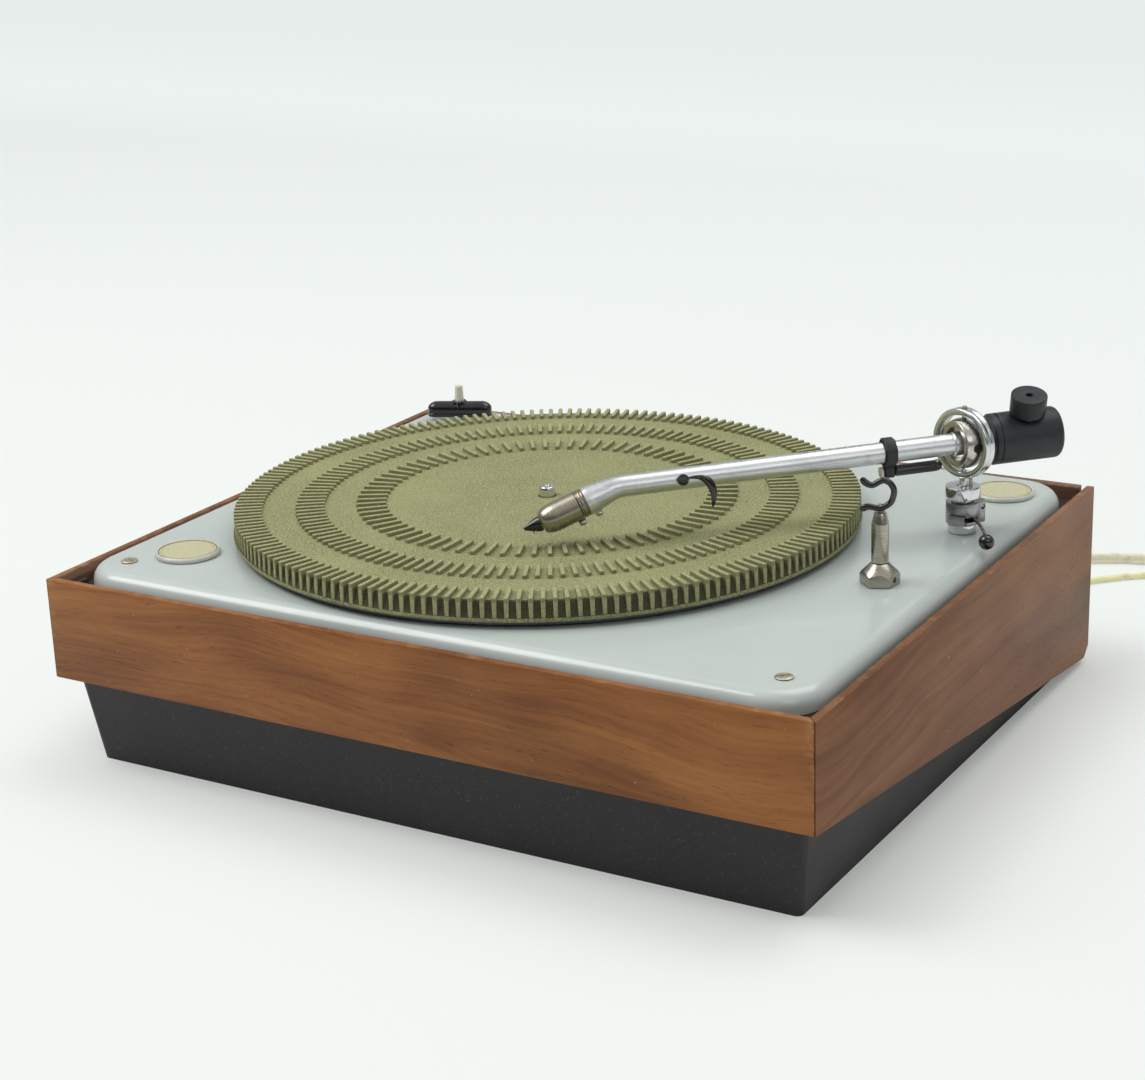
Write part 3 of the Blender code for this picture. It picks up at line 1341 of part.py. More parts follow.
def add_head(looks, arm):
    head = head_axis(arm)
    start, end = SEAT_GAP, SEAT_GAP + LOCK_RING_LENGTH
    groove = LOCK_RING_GROOVE
    profile = [(0, start), (FLARE_RADIUS, start)]
    for share in (1 / 4, 3 / 4):
        middle = start + LOCK_RING_LENGTH * share
        profile += [
            (FLARE_RADIUS, middle - groove),
            (FLARE_RADIUS - groove, middle),
            (FLARE_RADIUS, middle + groove),
        ]
    profile += [(FLARE_RADIUS, end), (0, end)]
    add("lock_ring", turned(profile, SMALL_SIDES, matrix=ALONG_X), looks["steel"], parent=head)
    start = end + SEAT_GAP
    straight = start + SHELL_LENGTH - SHELL_ROUND
    profile = [(0, start), (FLARE_RADIUS, start), (FLARE_RADIUS, straight)]
    steps = EDGE_STEPS
    for step in range(1, steps + 1):
        angle = pi / 2 * step / steps
        radius = SHELL_NOSE_RADIUS + (FLARE_RADIUS - SHELL_NOSE_RADIUS) * cos(angle)
        profile.append((radius, straight + SHELL_ROUND * sin(angle)))
    front = start + SHELL_LENGTH
    profile.append((0, front))
    add("headshell", turned(profile, SMALL_SIDES, matrix=ALONG_X), looks["chrome"], parent=head)
    start = front + SEAT_GAP
    rings = []
    for along, radius, rise in (
        (0, NOSE_RADIUS, 0),
        (NOSE_LENGTH / 4, NOSE_RADIUS, 0),
        (NOSE_LENGTH, NOSE_TIP_RADIUS, NOSE_RISE),
    ):
        circle = ring_of(radius, 0, TINY_SIDES)
        rings.append([Vector((start + along, point.x, rise + point.y)) for point in circle])
    add("nose", loft(rings), looks["black_gloss"], parent=head)
    share = (STYLUS_PLACE - NOSE_LENGTH / 4) / (NOSE_LENGTH * 3 / 4)
    under = NOSE_RADIUS + (NOSE_TIP_RADIUS - NOSE_RISE - NOSE_RADIUS) * share + SEAT_GAP
    profile = [
        (STYLUS_RADIUS, -under),
        (STYLUS_RADIUS, -under - STYLUS_LENGTH / 2),
        (STYLUS_TIP_RADIUS, -under - STYLUS_LENGTH),
    ]
    needle = turned(profile, TINY_SIDES)
    needle.transform(Matrix.Translation((start + STYLUS_PLACE, 0, 0)))
    add("stylus", needle, looks["steel"], parent=head)
    shell_start = SEAT_GAP + LOCK_RING_LENGTH + SEAT_GAP
    front = joint_screw(shell_start + FRONT_SCREW_PLACE, FLARE_RADIUS)
    rear = joint_screw(-REAR_SCREW_PLACE, REAR_SCREW_SEAT)
    add("front_joint_screw", front, looks["steel"], parent=head)
    add("rear_joint_screw", rear, looks["steel"], parent=head)


def add_finger_lift(looks, arm):
    near = TUBE_RADIUS + SEAT_GAP
    disc = rod(LIFT_DISC_RADIUS, near, near + LIFT_DISC_THICKNESS, SMALL_SIDES, ALONG_Y)
    disc.transform(Matrix.Translation((LIFT_PLACE, 0, LIFT_RISE)))
    lift = add("finger_lift", disc, looks["black_gloss"], parent=arm)
    out = near + LIFT_DISC_THICKNESS / 2
    blade_shares = (
        (0, 0, 0),
        (1 / 3, 0, 1 / 6),
        (2 / 3, 1 / 10, 1 / 3),
        (14 / 15, 2 / 5, 2 / 3),
        (1, 7 / 10, 5 / 6),
        (1, 1, 1),
    )
    path = []
    for run_share, fall_share, out_share in blade_shares:
        x = LIFT_PLACE - LIFT_DISC_RADIUS / 2 - LIFT_RUN * run_share
        path.append((x, out + LIFT_OUT * out_share, LIFT_RISE - LIFT_FALL * fall_share))
    blade = ribbon(smooth_path(path, LIFT_RUN / 5), (0, 1, 0), LIFT_SHEET, LIFT_WIDTH)
    blade.transform(Matrix.Translation((0, LIFT_WIDTH / 2, 0)))
    join(lift, blade)


def add_force_collar(looks, arm):
    centre = Vector((COLLAR_PLACE, 0, 0))
    half = COLLAR_WIDTH / 2
    bore = TUBE_RADIUS + RUNNING_GAP
    profile = [(bore, -half), (COLLAR_RADIUS, -half), (COLLAR_RADIUS, half), (bore, half)]
    shape = turned(profile, SMALL_SIDES, hollow=True, matrix=ALONG_X)
    collar = add("force_collar", shape, looks["black_gloss"], centre, arm)
    lug = COLLAR_LUG_WIDTH / 2
    join(collar, block((-half, -lug, -COLLAR_DROP), (half, lug, -(bore + COLLAR_RADIUS) / 2)))
    middle = -COLLAR_DROP + BAR_RADIUS
    near = half + SEAT_GAP
    disc = rod(COLLAR_DISC_RADIUS, near, near + COLLAR_DISC_THICKNESS, SMALL_SIDES, ALONG_X)
    disc.transform(Matrix.Translation((0, 0, middle)))
    add("collar_disc", disc, looks["ivory"], centre, arm)
    start = half
    end = start + BAR_LENGTH
    profile = [(BAR_RADIUS, 0)]
    pitch = (BAR_LENGTH - BAR_TAPER) / (BAR_GROOVE_COUNT + 1)
    for number in range(1, BAR_GROOVE_COUNT + 1):
        at = start + pitch * number
        profile += [
            (BAR_RADIUS, at - BAR_GROOVE),
            (BAR_RADIUS - BAR_GROOVE, at),
            (BAR_RADIUS, at + BAR_GROOVE),
        ]
    profile += [(BAR_RADIUS, end - BAR_TAPER), (BAR_RADIUS / 2, end)]
    bar = turned([(radius, -along) for radius, along in profile], SMALL_SIDES, matrix=ALONG_X)
    bar.transform(Matrix.Translation((0, 0, middle)))
    join(collar, bar)


def add_counterweight(looks, arm):
    rear = WEIGHT_FRONT + WEIGHT_LENGTH
    bore = SHAFT_RADIUS + RUNNING_GAP
    floor = SHAFT_END + RUNNING_GAP
    corner = WEIGHT_ROUND
    profile = [
        (0, rear),
        (WEIGHT_RADIUS - corner, rear),
        (WEIGHT_RADIUS - corner * (1 - sin(pi / 4)), rear - corner * (1 - sin(pi / 4))),
        (WEIGHT_RADIUS, rear - corner),
        (WEIGHT_RADIUS, WEIGHT_FRONT + corner),
        (WEIGHT_RADIUS - corner, WEIGHT_FRONT),
        (bore, WEIGHT_FRONT),
        (bore, floor),
        (0, floor),
    ]
    shape = turned([(radius, -along) for radius, along in profile], ROUND_SIDES, matrix=ALONG_X)
    weight = add("counterweight", shape, looks["black_paint"], parent=arm)
    boss = rod(BOSS_RADIUS, bore + SEAT_GAP, KNOB_SEAT, ROUND_SIDES)
    boss.transform(Matrix.Translation((-KNOB_PLACE, 0, 0)) @ Matrix.Rotation(-KNOB_ROLL, 4, "X"))
    join(weight, boss)
    bottom, top = KNOB_SEAT + SEAT_GAP, KNOB_TOP
    profile = [
        (0, bottom),
        (KNOB_RADIUS - KNOB_EDGE, bottom),
        (KNOB_RADIUS, bottom + KNOB_EDGE),
        (KNOB_RADIUS, top - KNOB_EDGE),
        (KNOB_RADIUS - KNOB_EDGE, top),
        (KNOB_HOLE, top),
        (KNOB_HOLE, top - KNOB_HOLE_DEPTH),
        (0, top - KNOB_HOLE_DEPTH),
    ]
    place = (-KNOB_PLACE, 0, 0)
    shape = turned(profile, ROUND_SIDES)
    add("weight_knob", shape, looks["black_paint"], place, arm, (-KNOB_ROLL, 0, 0))


# Arm rest


def add_rest(looks):
    place = (REST_X, REST_Y, 0)
    low, high = PLATE_TOP + SEAT_GAP, REST_CONE_TOP
    corner = REST_FLATS / 2 / cos(pi / 6)
    outline = [(corner * cos(pi * i / 3), corner * sin(pi * i / 3)) for i in range(6)]
    base = add("rest_base", prism(outline, low, high), looks["alloy"], place, turn=(0, 0, REST_TURN))
    shoulder = low + REST_CORNER_HEIGHT
    apex = shoulder + (high - shoulder) * corner / (corner - REST_POST_RADIUS)
    cone = turned([(corner, low - OVERRUN), (corner, shoulder), (0, apex)], ROUND_SIDES)
    combine(base, "INTERSECT", cone)
    cut(base, rod(REST_STUD_RADIUS + SEAT_GAP, low - OVERRUN, high + OVERRUN, SMALL_SIDES))
    tip = HOOK_BOTTOM - HOOK_WIRE_RADIUS - SEAT_GAP
    profile = [
        (REST_STUD_RADIUS, REST_STUD_BOTTOM),
        (REST_STUD_RADIUS, high + SEAT_GAP),
        (REST_POST_RADIUS, high + SEAT_GAP),
        (REST_POST_RADIUS, REST_SHOULDER),
        (REST_TIP_RADIUS, tip),
    ]
    add("rest_post", turned(profile, SMALL_SIDES), looks["chrome"], place)
    wire_shares = (
        (-0.58, 1.00),
        (-0.43, 0.84),
        (-0.25, 0.77),
        (-0.05, 0.88),
        (0.10, 0.93),
        (0.28, 0.84),
        (0.40, 0.61),
        (0.37, 0.36),
        (0.28, 0.17),
        (0.00, 0.00),
        (-0.37, 0.05),
        (-0.60, -0.06),
    )
    points = []
    for across_share, up_share in wire_shares:
        points.append((HOOK_WIDTH * across_share, 0, HOOK_BOTTOM + HOOK_HEIGHT * up_share))
    path = smooth_path(points, HOOK_WIRE_RADIUS * 3)
    shape = swept(path, [HOOK_WIRE_RADIUS] * len(path), TINY_SIDES)
    add("rest_hook", shape, looks["black_gloss"], place, turn=(0, 0, HOOK_HEADING))


# Leads


def behind_plinth(point):
    """A place of a lead, which keeps its distance from the plinth's back."""
    return Vector(point) + Vector((0, PLINTH_DEPTH / 2, 0))


def coil_path(cord):
    """One unbroken winding in two layers: in along the floor, out again on top of it."""
    pitch = cord["diameter"] + WIND_GAP
    turns, winding = cord["turns"], cord["winding"]
    inner_half = turns / 2
    outer = cord["coil_radius"] + pitch * inner_half / 2
    floor_level = cord["route"][-1][2]
    centre = behind_plinth((*cord["coil_centre"], 0))
    total = ceil(turns * TURN_POINTS)
    points = []
    for k in range(total + 1):
        done = turns * k / total
        reach = outer - pitch * min(done, turns - done)
        climb = min(1, max(0, (done - inner_half) / CLIMB_TURNS + 1 / 2))
        level = floor_level + pitch * climb
        points.append(centre + polar(reach, cord["entry_heading"] + winding * 2 * pi * done, level))
    run = cord["diameter"]
    first_along = polar(1.0, cord["entry_heading"] + winding * pi / 2)
    last_along = polar(1.0, cord["entry_heading"] + winding * (2 * pi * turns + pi / 2))
    leaves = points[-1]
    fall = cord["plug_axis"] - leaves.z
    for step in range(1, TAIL_STEPS + 1):
        share = step / TAIL_STEPS
        ease = share**2 * (3 - 2 * share)
        points.append(leaves + last_along * cord["tail"] * share + Vector((0, 0, fall * ease)))
    start = points[0] - first_along * run
    end = points[-1] + last_along * run
    return [start, *points, end], ((start, first_along), (end, last_along))


def least_gap(points, diameter):
    """The least clear space between turns, which are over half a turn apart along the winding."""
    least = None
    apart = TURN_POINTS // 2
    for i, point in enumerate(points):
        for k in range(i + apart, len(points) - 1):
            a, b = points[k], points[k + 1]
            along = b - a
            share = min(1.0, max(0.0, (point - a).dot(along) / along.length_squared))
            gap = (point - a - along * share).length - diameter
            least = gap if least is None else min(least, gap)
    return least


def length_of(points):
    return sum((b - a).length for a, b in zip(points, points[1:]))


def add_lead(name, cord, material, start_y):
    """The free stretch from the gland to the coil, then the coil itself."""
    diameter = cord["diameter"]
    coil, ends = coil_path(cord)
    entry, along = ends[0]
    start = Vector((cord["gland_x"], start_y, LEAD_HEIGHT))
    straight = Vector((0, diameter, 0))
    finish = entry - along * SEAT_GAP
    route = [start, start + straight]
    route += [behind_plinth(point) for point in cord["route"]]
    route += [finish - along * diameter, finish]
    path = smooth_path(route, diameter * LEAD_POINT_STEP)
    lead(f"{name}_lead", path, diameter, material, LEAD_ROUNDNESS)
    lead(f"{name}_coil", coil, diameter, material, COIL_ROUNDNESS)
    total = length_of(path) + length_of(coil)
    gap = least_gap(coil, diameter) * 1000
    print(f"{name} lead: {total:.3f} m, least gap in the coil {gap:.2f} mm")
    return ends[1]


def add_leads(looks):
    back = PLINTH_DEPTH / 2 + SEAT_GAP
    radius = BOOT_TIP_RADIUS
    boot = [
        (0, -BOARD),
        (radius, -BOARD),
        (radius, 0),
        (BOOT_FLANGE_RADIUS, 0),
        (BOOT_FLANGE_RADIUS, BOOT_FLANGE),
        (radius * 3 / 2, BOOT_FLANGE),
        (radius, BOOT_LENGTH),
        (0, BOOT_LENGTH),
    ]
    shape = turned(boot, SMALL_SIDES, matrix=ALONG_Y)
    add("mains_boot", shape, looks["black_rubber"], (MAINS["gland_x"], back, LEAD_HEIGHT))
    inner = GROMMET_RADIUS / 2
    grommet = [
        (0, -BOARD),
        (inner, -BOARD),
        (inner, 0),
        (GROMMET_RADIUS, 0),
        (GROMMET_RADIUS, GROMMET_LENGTH / 2),
        (inner, GROMMET_LENGTH),
        (0, GROMMET_LENGTH),
    ]
    shape = turned(grommet, SMALL_SIDES, matrix=ALONG_Y)
    add("signal_grommet", shape, looks["black_rubber"], (SIGNAL["gland_x"], back, LEAD_HEIGHT))
    end, along = add_lead("mains", MAINS, looks["cream"], back + BOOT_LENGTH + SEAT_GAP)
    add_plug(looks, end, along)
    end, along = add_lead("signal", SIGNAL, looks["pale_yellow"], back + GROMMET_LENGTH + SEAT_GAP)
    add_jack(looks, end, along)


def add_plug(looks, end, along):
    """A plain two-pin mains plug, with its cable end at the origin."""
    turn = (0, 0, atan2(along.y, along.x))
    place = end + along * SEAT_GAP
    half, tall = PLUG_WIDTH / 2, PLUG_HEIGHT / 2
    neck = MAINS["diameter"] / 2 + SEAT_GAP
    rings = []
    for x, wide, high in (
        (0, neck, neck),
        (PLUG_NECK, half, tall),
        (PLUG_LENGTH, half, tall),
    ):
        outline = filleted(rectangle(wide, -high, high), high / 2, EDGE_STEPS)
        rings.append([Vector((x, y, z)) for y, z in outline])
    plug = add("mains_plug", loft(rings), looks["cream"], place, turn=turn)
    for side in (-1, 1):
        tip = PLUG_LENGTH + PLUG_PIN_LENGTH
        pin = rod(PLUG_PIN_RADIUS, PLUG_LENGTH - OVERRUN, tip, TINY_SIDES, ALONG_X)
        pin.transform(Matrix.Translation((0, side * PLUG_PIN_PITCH / 2, 0)))
        join(plug, pin)


def add_jack(looks, end, along):
    """A plain round signal plug with a metal shell at its front."""
    neck = JACK_NECK_RADIUS
    shell = JACK_LENGTH - JACK_SHELL_LENGTH
    profile = [
        (neck, 0),
        (neck, JACK_LENGTH / 6),
        (JACK_RADIUS, JACK_LENGTH / 3),
        (JACK_RADIUS, shell),
        (JACK_SHELL_RADIUS, shell),
        (JACK_SHELL_RADIUS, JACK_LENGTH),
    ]
    shape = turned(profile, SMALL_SIDES, matrix=ALONG_X)
    place = end + along * SEAT_GAP
    add("signal_plug", shape, looks["black_gloss"], place, turn=(0, 0, atan2(along.y, along.x)))


def main():
    clear_scene()
    looks = make_looks()
    add_case(looks)
    add_boards(looks)
    add_frame(looks)
    add_plate(looks)
    add_plate_screws(looks)
    add_badges(looks)
    add_platter(looks)
    add_mat(looks)
    add_idler(looks)
    add_motor(looks)
    add_selector(looks)
    add_pillar(looks)
    add_clamp(looks)
    add_lift_lever(looks)
    yoke = axis("arm_swing_axis", (ARM_X, ARM_Y, ARM_HUB), (0, 0, ARM_HEADING))
    arm = axis("arm_tilt_axis", (0, 0, 0), (0, ARM_SLOPE, 0), yoke)
    add_gimbal(looks, yoke)
    add_tube(looks, arm)
    add_head(looks, arm)
    add_finger_lift(looks, arm)
    add_force_collar(looks, arm)
    add_counterweight(looks, arm)
    add_rest(looks)
    add_leads(looks)


main()
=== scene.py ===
from math import atan2, ceil, cos, pi, radians, sin, sqrt

import bmesh
import bpy
from mathutils import Euler, Matrix, Vector


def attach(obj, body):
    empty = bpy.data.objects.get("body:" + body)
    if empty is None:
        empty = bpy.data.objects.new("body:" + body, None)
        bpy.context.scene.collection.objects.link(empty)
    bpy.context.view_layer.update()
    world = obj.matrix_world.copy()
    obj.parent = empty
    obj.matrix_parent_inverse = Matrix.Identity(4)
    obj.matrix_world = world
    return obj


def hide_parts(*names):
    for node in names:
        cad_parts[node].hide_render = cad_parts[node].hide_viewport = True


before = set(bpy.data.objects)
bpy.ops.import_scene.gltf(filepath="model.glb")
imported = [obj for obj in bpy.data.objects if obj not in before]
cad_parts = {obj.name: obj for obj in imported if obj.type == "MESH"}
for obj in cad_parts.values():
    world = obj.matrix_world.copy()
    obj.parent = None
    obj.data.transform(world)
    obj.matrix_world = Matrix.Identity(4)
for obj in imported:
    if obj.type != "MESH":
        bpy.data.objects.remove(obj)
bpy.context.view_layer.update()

alongX = Matrix.Rotation(pi / 2, 4, "Y")
alongY = Matrix.Rotation(-pi / 2, 4, "X")
fitGap = 0.0003


# Shapes in mesh code


def polar(radius, heading, height=0.0):
    return Vector((radius * cos(heading), radius * sin(heading), height))


def bridge(shape, low, high):
    # quads between two rows of points, or a fan where one row is a single point
    count = max(len(low), len(high))
    for i in range(count):
        j = (i + 1) % count
        corners = [low[i % len(low)], low[j % len(low)], high[j % len(high)], high[i % len(high)]]
        shape.faces.new(list(dict.fromkeys(corners)))


def loft(rows, closed=False):
    shape = bmesh.new()
    made = [[shape.verts.new(point) for point in row] for row in rows]
    for low, high in zip(made, made[1:]):
        bridge(shape, low, high)
    if closed:
        bridge(shape, made[-1], made[0])
    else:
        for row in (made[0], made[-1]):
            if len(row) > 2:
                shape.faces.new(row)
    bmesh.ops.recalc_face_normals(shape, faces=shape.faces)
    return shape


def rounded(profile, radius, steps=3, closed=False):
    # every corner of a profile becomes a small arc, no longer than its shorter side allows
    points = [Vector(point) for point in profile]
    found = []
    for i, here in enumerate(points):
        if not closed and i in (0, len(points) - 1):
            found.append(tuple(here))
            continue
        back, ahead = points[i - 1] - here, points[(i + 1) % len(points)] - here
        cutBack = min(radius, back.length * 0.45)
        cutAhead = min(radius, ahead.length * 0.45)
        start, end = here + back.normalized() * cutBack, here + ahead.normalized() * cutAhead
        for step in range(steps + 1):
            t = step / steps
            found.append(tuple(start * (1 - t) ** 2 + here * 2 * t * (1 - t) + end * t**2))
    return found


def spun(profile, sides=64, closed=False, matrix=None):
    rows = []
    for radius, height in profile:
        if radius < 1e-7:
            rows.append([Vector((0, 0, height))])
        else:
            rows.append([polar(radius, 2 * pi * i / sides, height) for i in range(sides)])
    shape = loft(rows, closed)
    if matrix:
        shape.transform(matrix)
    return shape


def upright(radius, low, high):
    return [(0, low), (radius, low), (radius, high), (0, high)]


def drill(radius, low, high, sides, matrix=None):
    return spun(upright(radius, low, high), sides, matrix=matrix)


def prism(outline, low, high):
    return loft([[Vector((x, y, z)) for x, y in outline] for z in (low, high)])


def block(low, high):
    corners = [(low[0], low[1]), (high[0], low[1]), (high[0], high[1]), (low[0], high[1])]
    return prism(corners, low[2], high[2])


def roundedBox(halfX, halfY, radius, steps):
    points = []
    for number, (sideX, sideY) in enumerate(((1, 1), (-1, 1), (-1, -1), (1, -1))):
        centre = Vector((sideX * (halfX - radius), sideY * (halfY - radius)))
        for step in range(steps + 1):
            angle = pi / 2 * (number + step / steps)
            points.append((centre.x + radius * cos(angle), centre.y + radius * sin(angle)))
    return points


def smoothPath(points, step):
    points = [Vector(point) for point in points]
    ends = [2 * points[0] - points[1], *points, 2 * points[-1] - points[-2]]
    found = []
    for a, b, c, d in zip(ends, ends[1:], ends[2:], ends[3:]):
        pieces = max(1, round((c - b).length / step))
        for k in range(pieces):
            t = k / pieces
            curve = (2 * a - 5 * b + 4 * c - d) * t**2 + (3 * b - a - 3 * c + d) * t**3
            found.append(0.5 * (2 * b + (c - a) * t + curve))
    found.append(points[-1])
    return found


def aheadOn(path, i):
    return (path[min(i + 1, len(path) - 1)] - path[max(i - 1, 0)]).normalized()


def swept(path, section, up=None):
    # section gives for each place on the path the points (across, up) of its outline
    path = [Vector(point) for point in path]
    side = None
    rows = []
    for i, point in enumerate(path):
        ahead = aheadOn(path, i)
        if up is not None:
            side = ahead.cross(Vector(up)).normalized()
        elif side is None:
            side = ahead.orthogonal().normalized()
        side = (side - ahead * side.dot(ahead)).normalized()
        above = side.cross(ahead)
        rows.append([point + side * x + above * y for x, y in section(i)])
    return loft(rows)


def circle(radius, sides):
    return [(radius * cos(2 * pi * k / sides), radius * sin(2 * pi * k / sides)) for k in range(sides)]


def lengthOf(points):
    return sum((b - a).length for a, b in zip(points, points[1:]))


def linked(name, data):
    made = bpy.data.objects.new(name, data)
    bpy.context.collection.objects.link(made)
    return made


def smoothed(mesh, sharp=38):
    mesh.shade_smooth()
    mesh.set_sharp_from_angle(angle=radians(sharp))


def newObject(name, shape, matrix=None, sharp=38):
    if matrix:
        shape.transform(matrix)
    mesh = bpy.data.meshes.new(name)
    shape.to_mesh(mesh)
    shape.free()
    smoothed(mesh, sharp)
    return linked(name, mesh)


def bake(host, name):
    # the object with its modifiers made part of a plain mesh
    graph = bpy.context.evaluated_depsgraph_get()
    mesh = bpy.data.meshes.new_from_object(host.evaluated_get(graph))
    mesh.name = name
    made = linked(name, mesh)
    bpy.data.objects.remove(host, do_unlink=True)
    return made


def carved(name, shape, cutters=(), matrix=None, bevel=0.0, segments=2, operation="DIFFERENCE"):
    host = newObject(name + " blank", shape)
    helpers = []
    for cutter in cutters:
        helper = newObject(name + " cutter", cutter)
        helpers.append(helper)
        change = host.modifiers.new("carve", "BOOLEAN")
        change.operation = operation
        change.solver = "EXACT"
        change.object = helper
    if bevel:
        edge = host.modifiers.new("soft edges", "BEVEL")
        edge.width = bevel
        edge.segments = segments
        edge.limit_method = "ANGLE"
        edge.angle_limit = radians(30)
        edge.harden_normals = False
    made = bake(host, name)
    for helper in helpers:
        bpy.data.objects.remove(helper, do_unlink=True)
    if matrix:
        made.data.transform(matrix)
    smoothed(made.data)
    return made


def settle(made, material, body, nodes=(), slotName=None):
    # every piece gets its finish, its body and the CAD nodes that it stands for in one place
    if material is not None:
        made.data.materials.clear()
        made.data.materials.append(material)
    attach(made, body)
    if nodes:
        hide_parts(*nodes)
    return made


def turned(name, profile, radius, sides, place, looks, steps=3, closed=False, matrix=None):
    # a profile spun and settled, its corners rounded where a radius is given
    if radius:
        profile = rounded(profile, radius, steps, closed)
    return settle(newObject(name, spun(profile, sides, closed, matrix), place), *looks)


# Shader maths


class Field:
    # one socket of a node tree, so that shader maths reads as plain sums
    def __init__(self, tree, socket=None):
        self.tree = tree
        self.socket = socket

    def node(self, kind, settings=None, values=None, output=0):
        made = self.tree.nodes.new(kind)
        for name, value in (settings or {}).items():
            if name == "stops":
                while len(made.color_ramp.elements) < len(value):
                    made.color_ramp.elements.new(1.0)
                for element, (place, paint) in zip(made.color_ramp.elements, value):
                    element.position = place
                    element.color = paint
            else:
                setattr(made, name, value)
        for name, value in (values or {}).items():
            if isinstance(value, Field):
                self.tree.links.new(value.socket, made.inputs[name])
            else:
                made.inputs[name].default_value = value
        return Field(self.tree, made.outputs[output])

    def maths(self, operation, *others):
        return self.node("ShaderNodeMath", {"operation": operation}, dict(enumerate((self, *others))))

    def __add__(self, other):
        return self.maths("ADD", other)

    __radd__ = __add__

    def __sub__(self, other):
        return self.maths("SUBTRACT", other)

    def __mul__(self, other):
        return self.maths("MULTIPLY", other)

    def __truediv__(self, other):
        return self.maths("DIVIDE", other)

    def into(self, shader, name):
        self.tree.links.new(self.socket, shader.inputs[name])


def colour(red, green, blue):
    # display values from 0 to 255, as a picture editor shows them
    levels = []
    for value in (red / 255, green / 255, blue / 255):
        levels.append(value / 12.92 if value <= 0.04045 else ((value + 0.055) / 1.055) ** 2.4)
    return (*levels, 1.0)


def newFinish(name, values):
    material = bpy.data.materials.new(name)
    material.use_nodes = True
    tree = material.node_tree
    shader = tree.nodes["Principled BSDF"]
    for socket, value in values.items():
        shader.inputs[socket].default_value = value
    return material, Field(tree, tree.nodes.new("ShaderNodeTexCoord").outputs["Object"]), shader


def inFrame(place, location=(0, 0, 0), rotation=(0, 0, 0)):
    return place.node(
        "ShaderNodeMapping", {"vector_type": "TEXTURE"},
        {"Vector": place, "Location": location, "Rotation": rotation},
    )


def stretched(place, scale):
    return place.node("ShaderNodeVectorMath", {"operation": "MULTIPLY"}, {0: place, 1: scale})


def axisOf(place, number):
    return place.node("ShaderNodeSeparateXYZ", None, {0: place}, number)


def noise(place, scale, detail=3.0, roughness=0.55):
    values = {"Vector": place, "Scale": scale, "Detail": detail, "Roughness": roughness}
    return place.node("ShaderNodeTexNoise", None, values)


def between(value, low, high, first=0.0, last=1.0):
    values = {"Value": value, "From Min": low, "From Max": high, "To Min": first, "To Max": last}
    return value.node("ShaderNodeMapRange", {"interpolation_type": "SMOOTHSTEP"}, values)


def painted(value, stops):
    return value.node("ShaderNodeValToRGB", {"stops": stops}, {0: value})


def mixed(mask, first, second):
    return mask.node("ShaderNodeMix", {"data_type": "RGBA"}, {0: mask, 6: first, 7: second}, 2)


def raised(height, distance, strength):
    return height.node("ShaderNodeBump", None, {"Height": height, "Distance": distance, "Strength": strength})


def level(place, dark, light, scale):
    # a colour that drifts between two tones
    return mixed(between(noise(place, scale), 0.3, 0.7), dark, light)


def coated(material, shader, paint, rough, bump):
    for field, name in ((paint, "Base Color"), (rough, "Roughness"), (bump, "Normal")):
        field.into(shader, name)
    return material


# Camera and light

cameraView = {
    "place": (0.54109, -0.92348, 0.44693),
    "lens": 74.21,
    "sensorWidth": 36.0,
    "yaw": radians(-30.79),
    "down": radians(18.55),
    "roll": radians(-2.0),
}


def addCamera(view):
    yaw, down, roll = view["yaw"], view["down"], view["roll"]
    ahead = Vector((sin(yaw) * cos(down), cos(yaw) * cos(down), -sin(down)))
    right = Vector((cos(yaw), -sin(yaw), 0))
    up = right.cross(ahead)
    right, up = right * cos(roll) + up * sin(roll), up * cos(roll) - right * sin(roll)
    data = bpy.data.cameras.new("camera")
    data.lens = view["lens"]
    data.sensor_width = view["sensorWidth"]
    data.sensor_fit = "HORIZONTAL"
    camera = linked("camera", data)
    turn = Matrix((right, up, -ahead)).transposed().to_4x4()
    camera.matrix_world = Matrix.Translation(view["place"]) @ turn
    bpy.context.scene.camera = camera


addCamera(cameraView)
bpy.context.scene.view_settings.view_transform = "Standard"
print("camera placed")

studio = {
    "floor": colour(240, 243, 240),
    "near": colour(243, 245, 240),
    "far": colour(239, 245, 243),
    "top": colour(231, 237, 235),
    "halfX": 0.194,
    "halfY": 0.165,
    "worldLevel": 0.62,
    "lamps": (
        # place, aim, size, watts
        ((-1.30, -0.70, 1.90), (0.0, 0.0, 0.05), 1.30, 26.0),
        ((0.55, 0.95, 2.20), (0.0, 0.0, 0.05), 1.60, 16.0),
        ((1.60, -1.10, 1.20), (0.05, 0.0, 0.05), 0.80, 3.0),
    ),
}


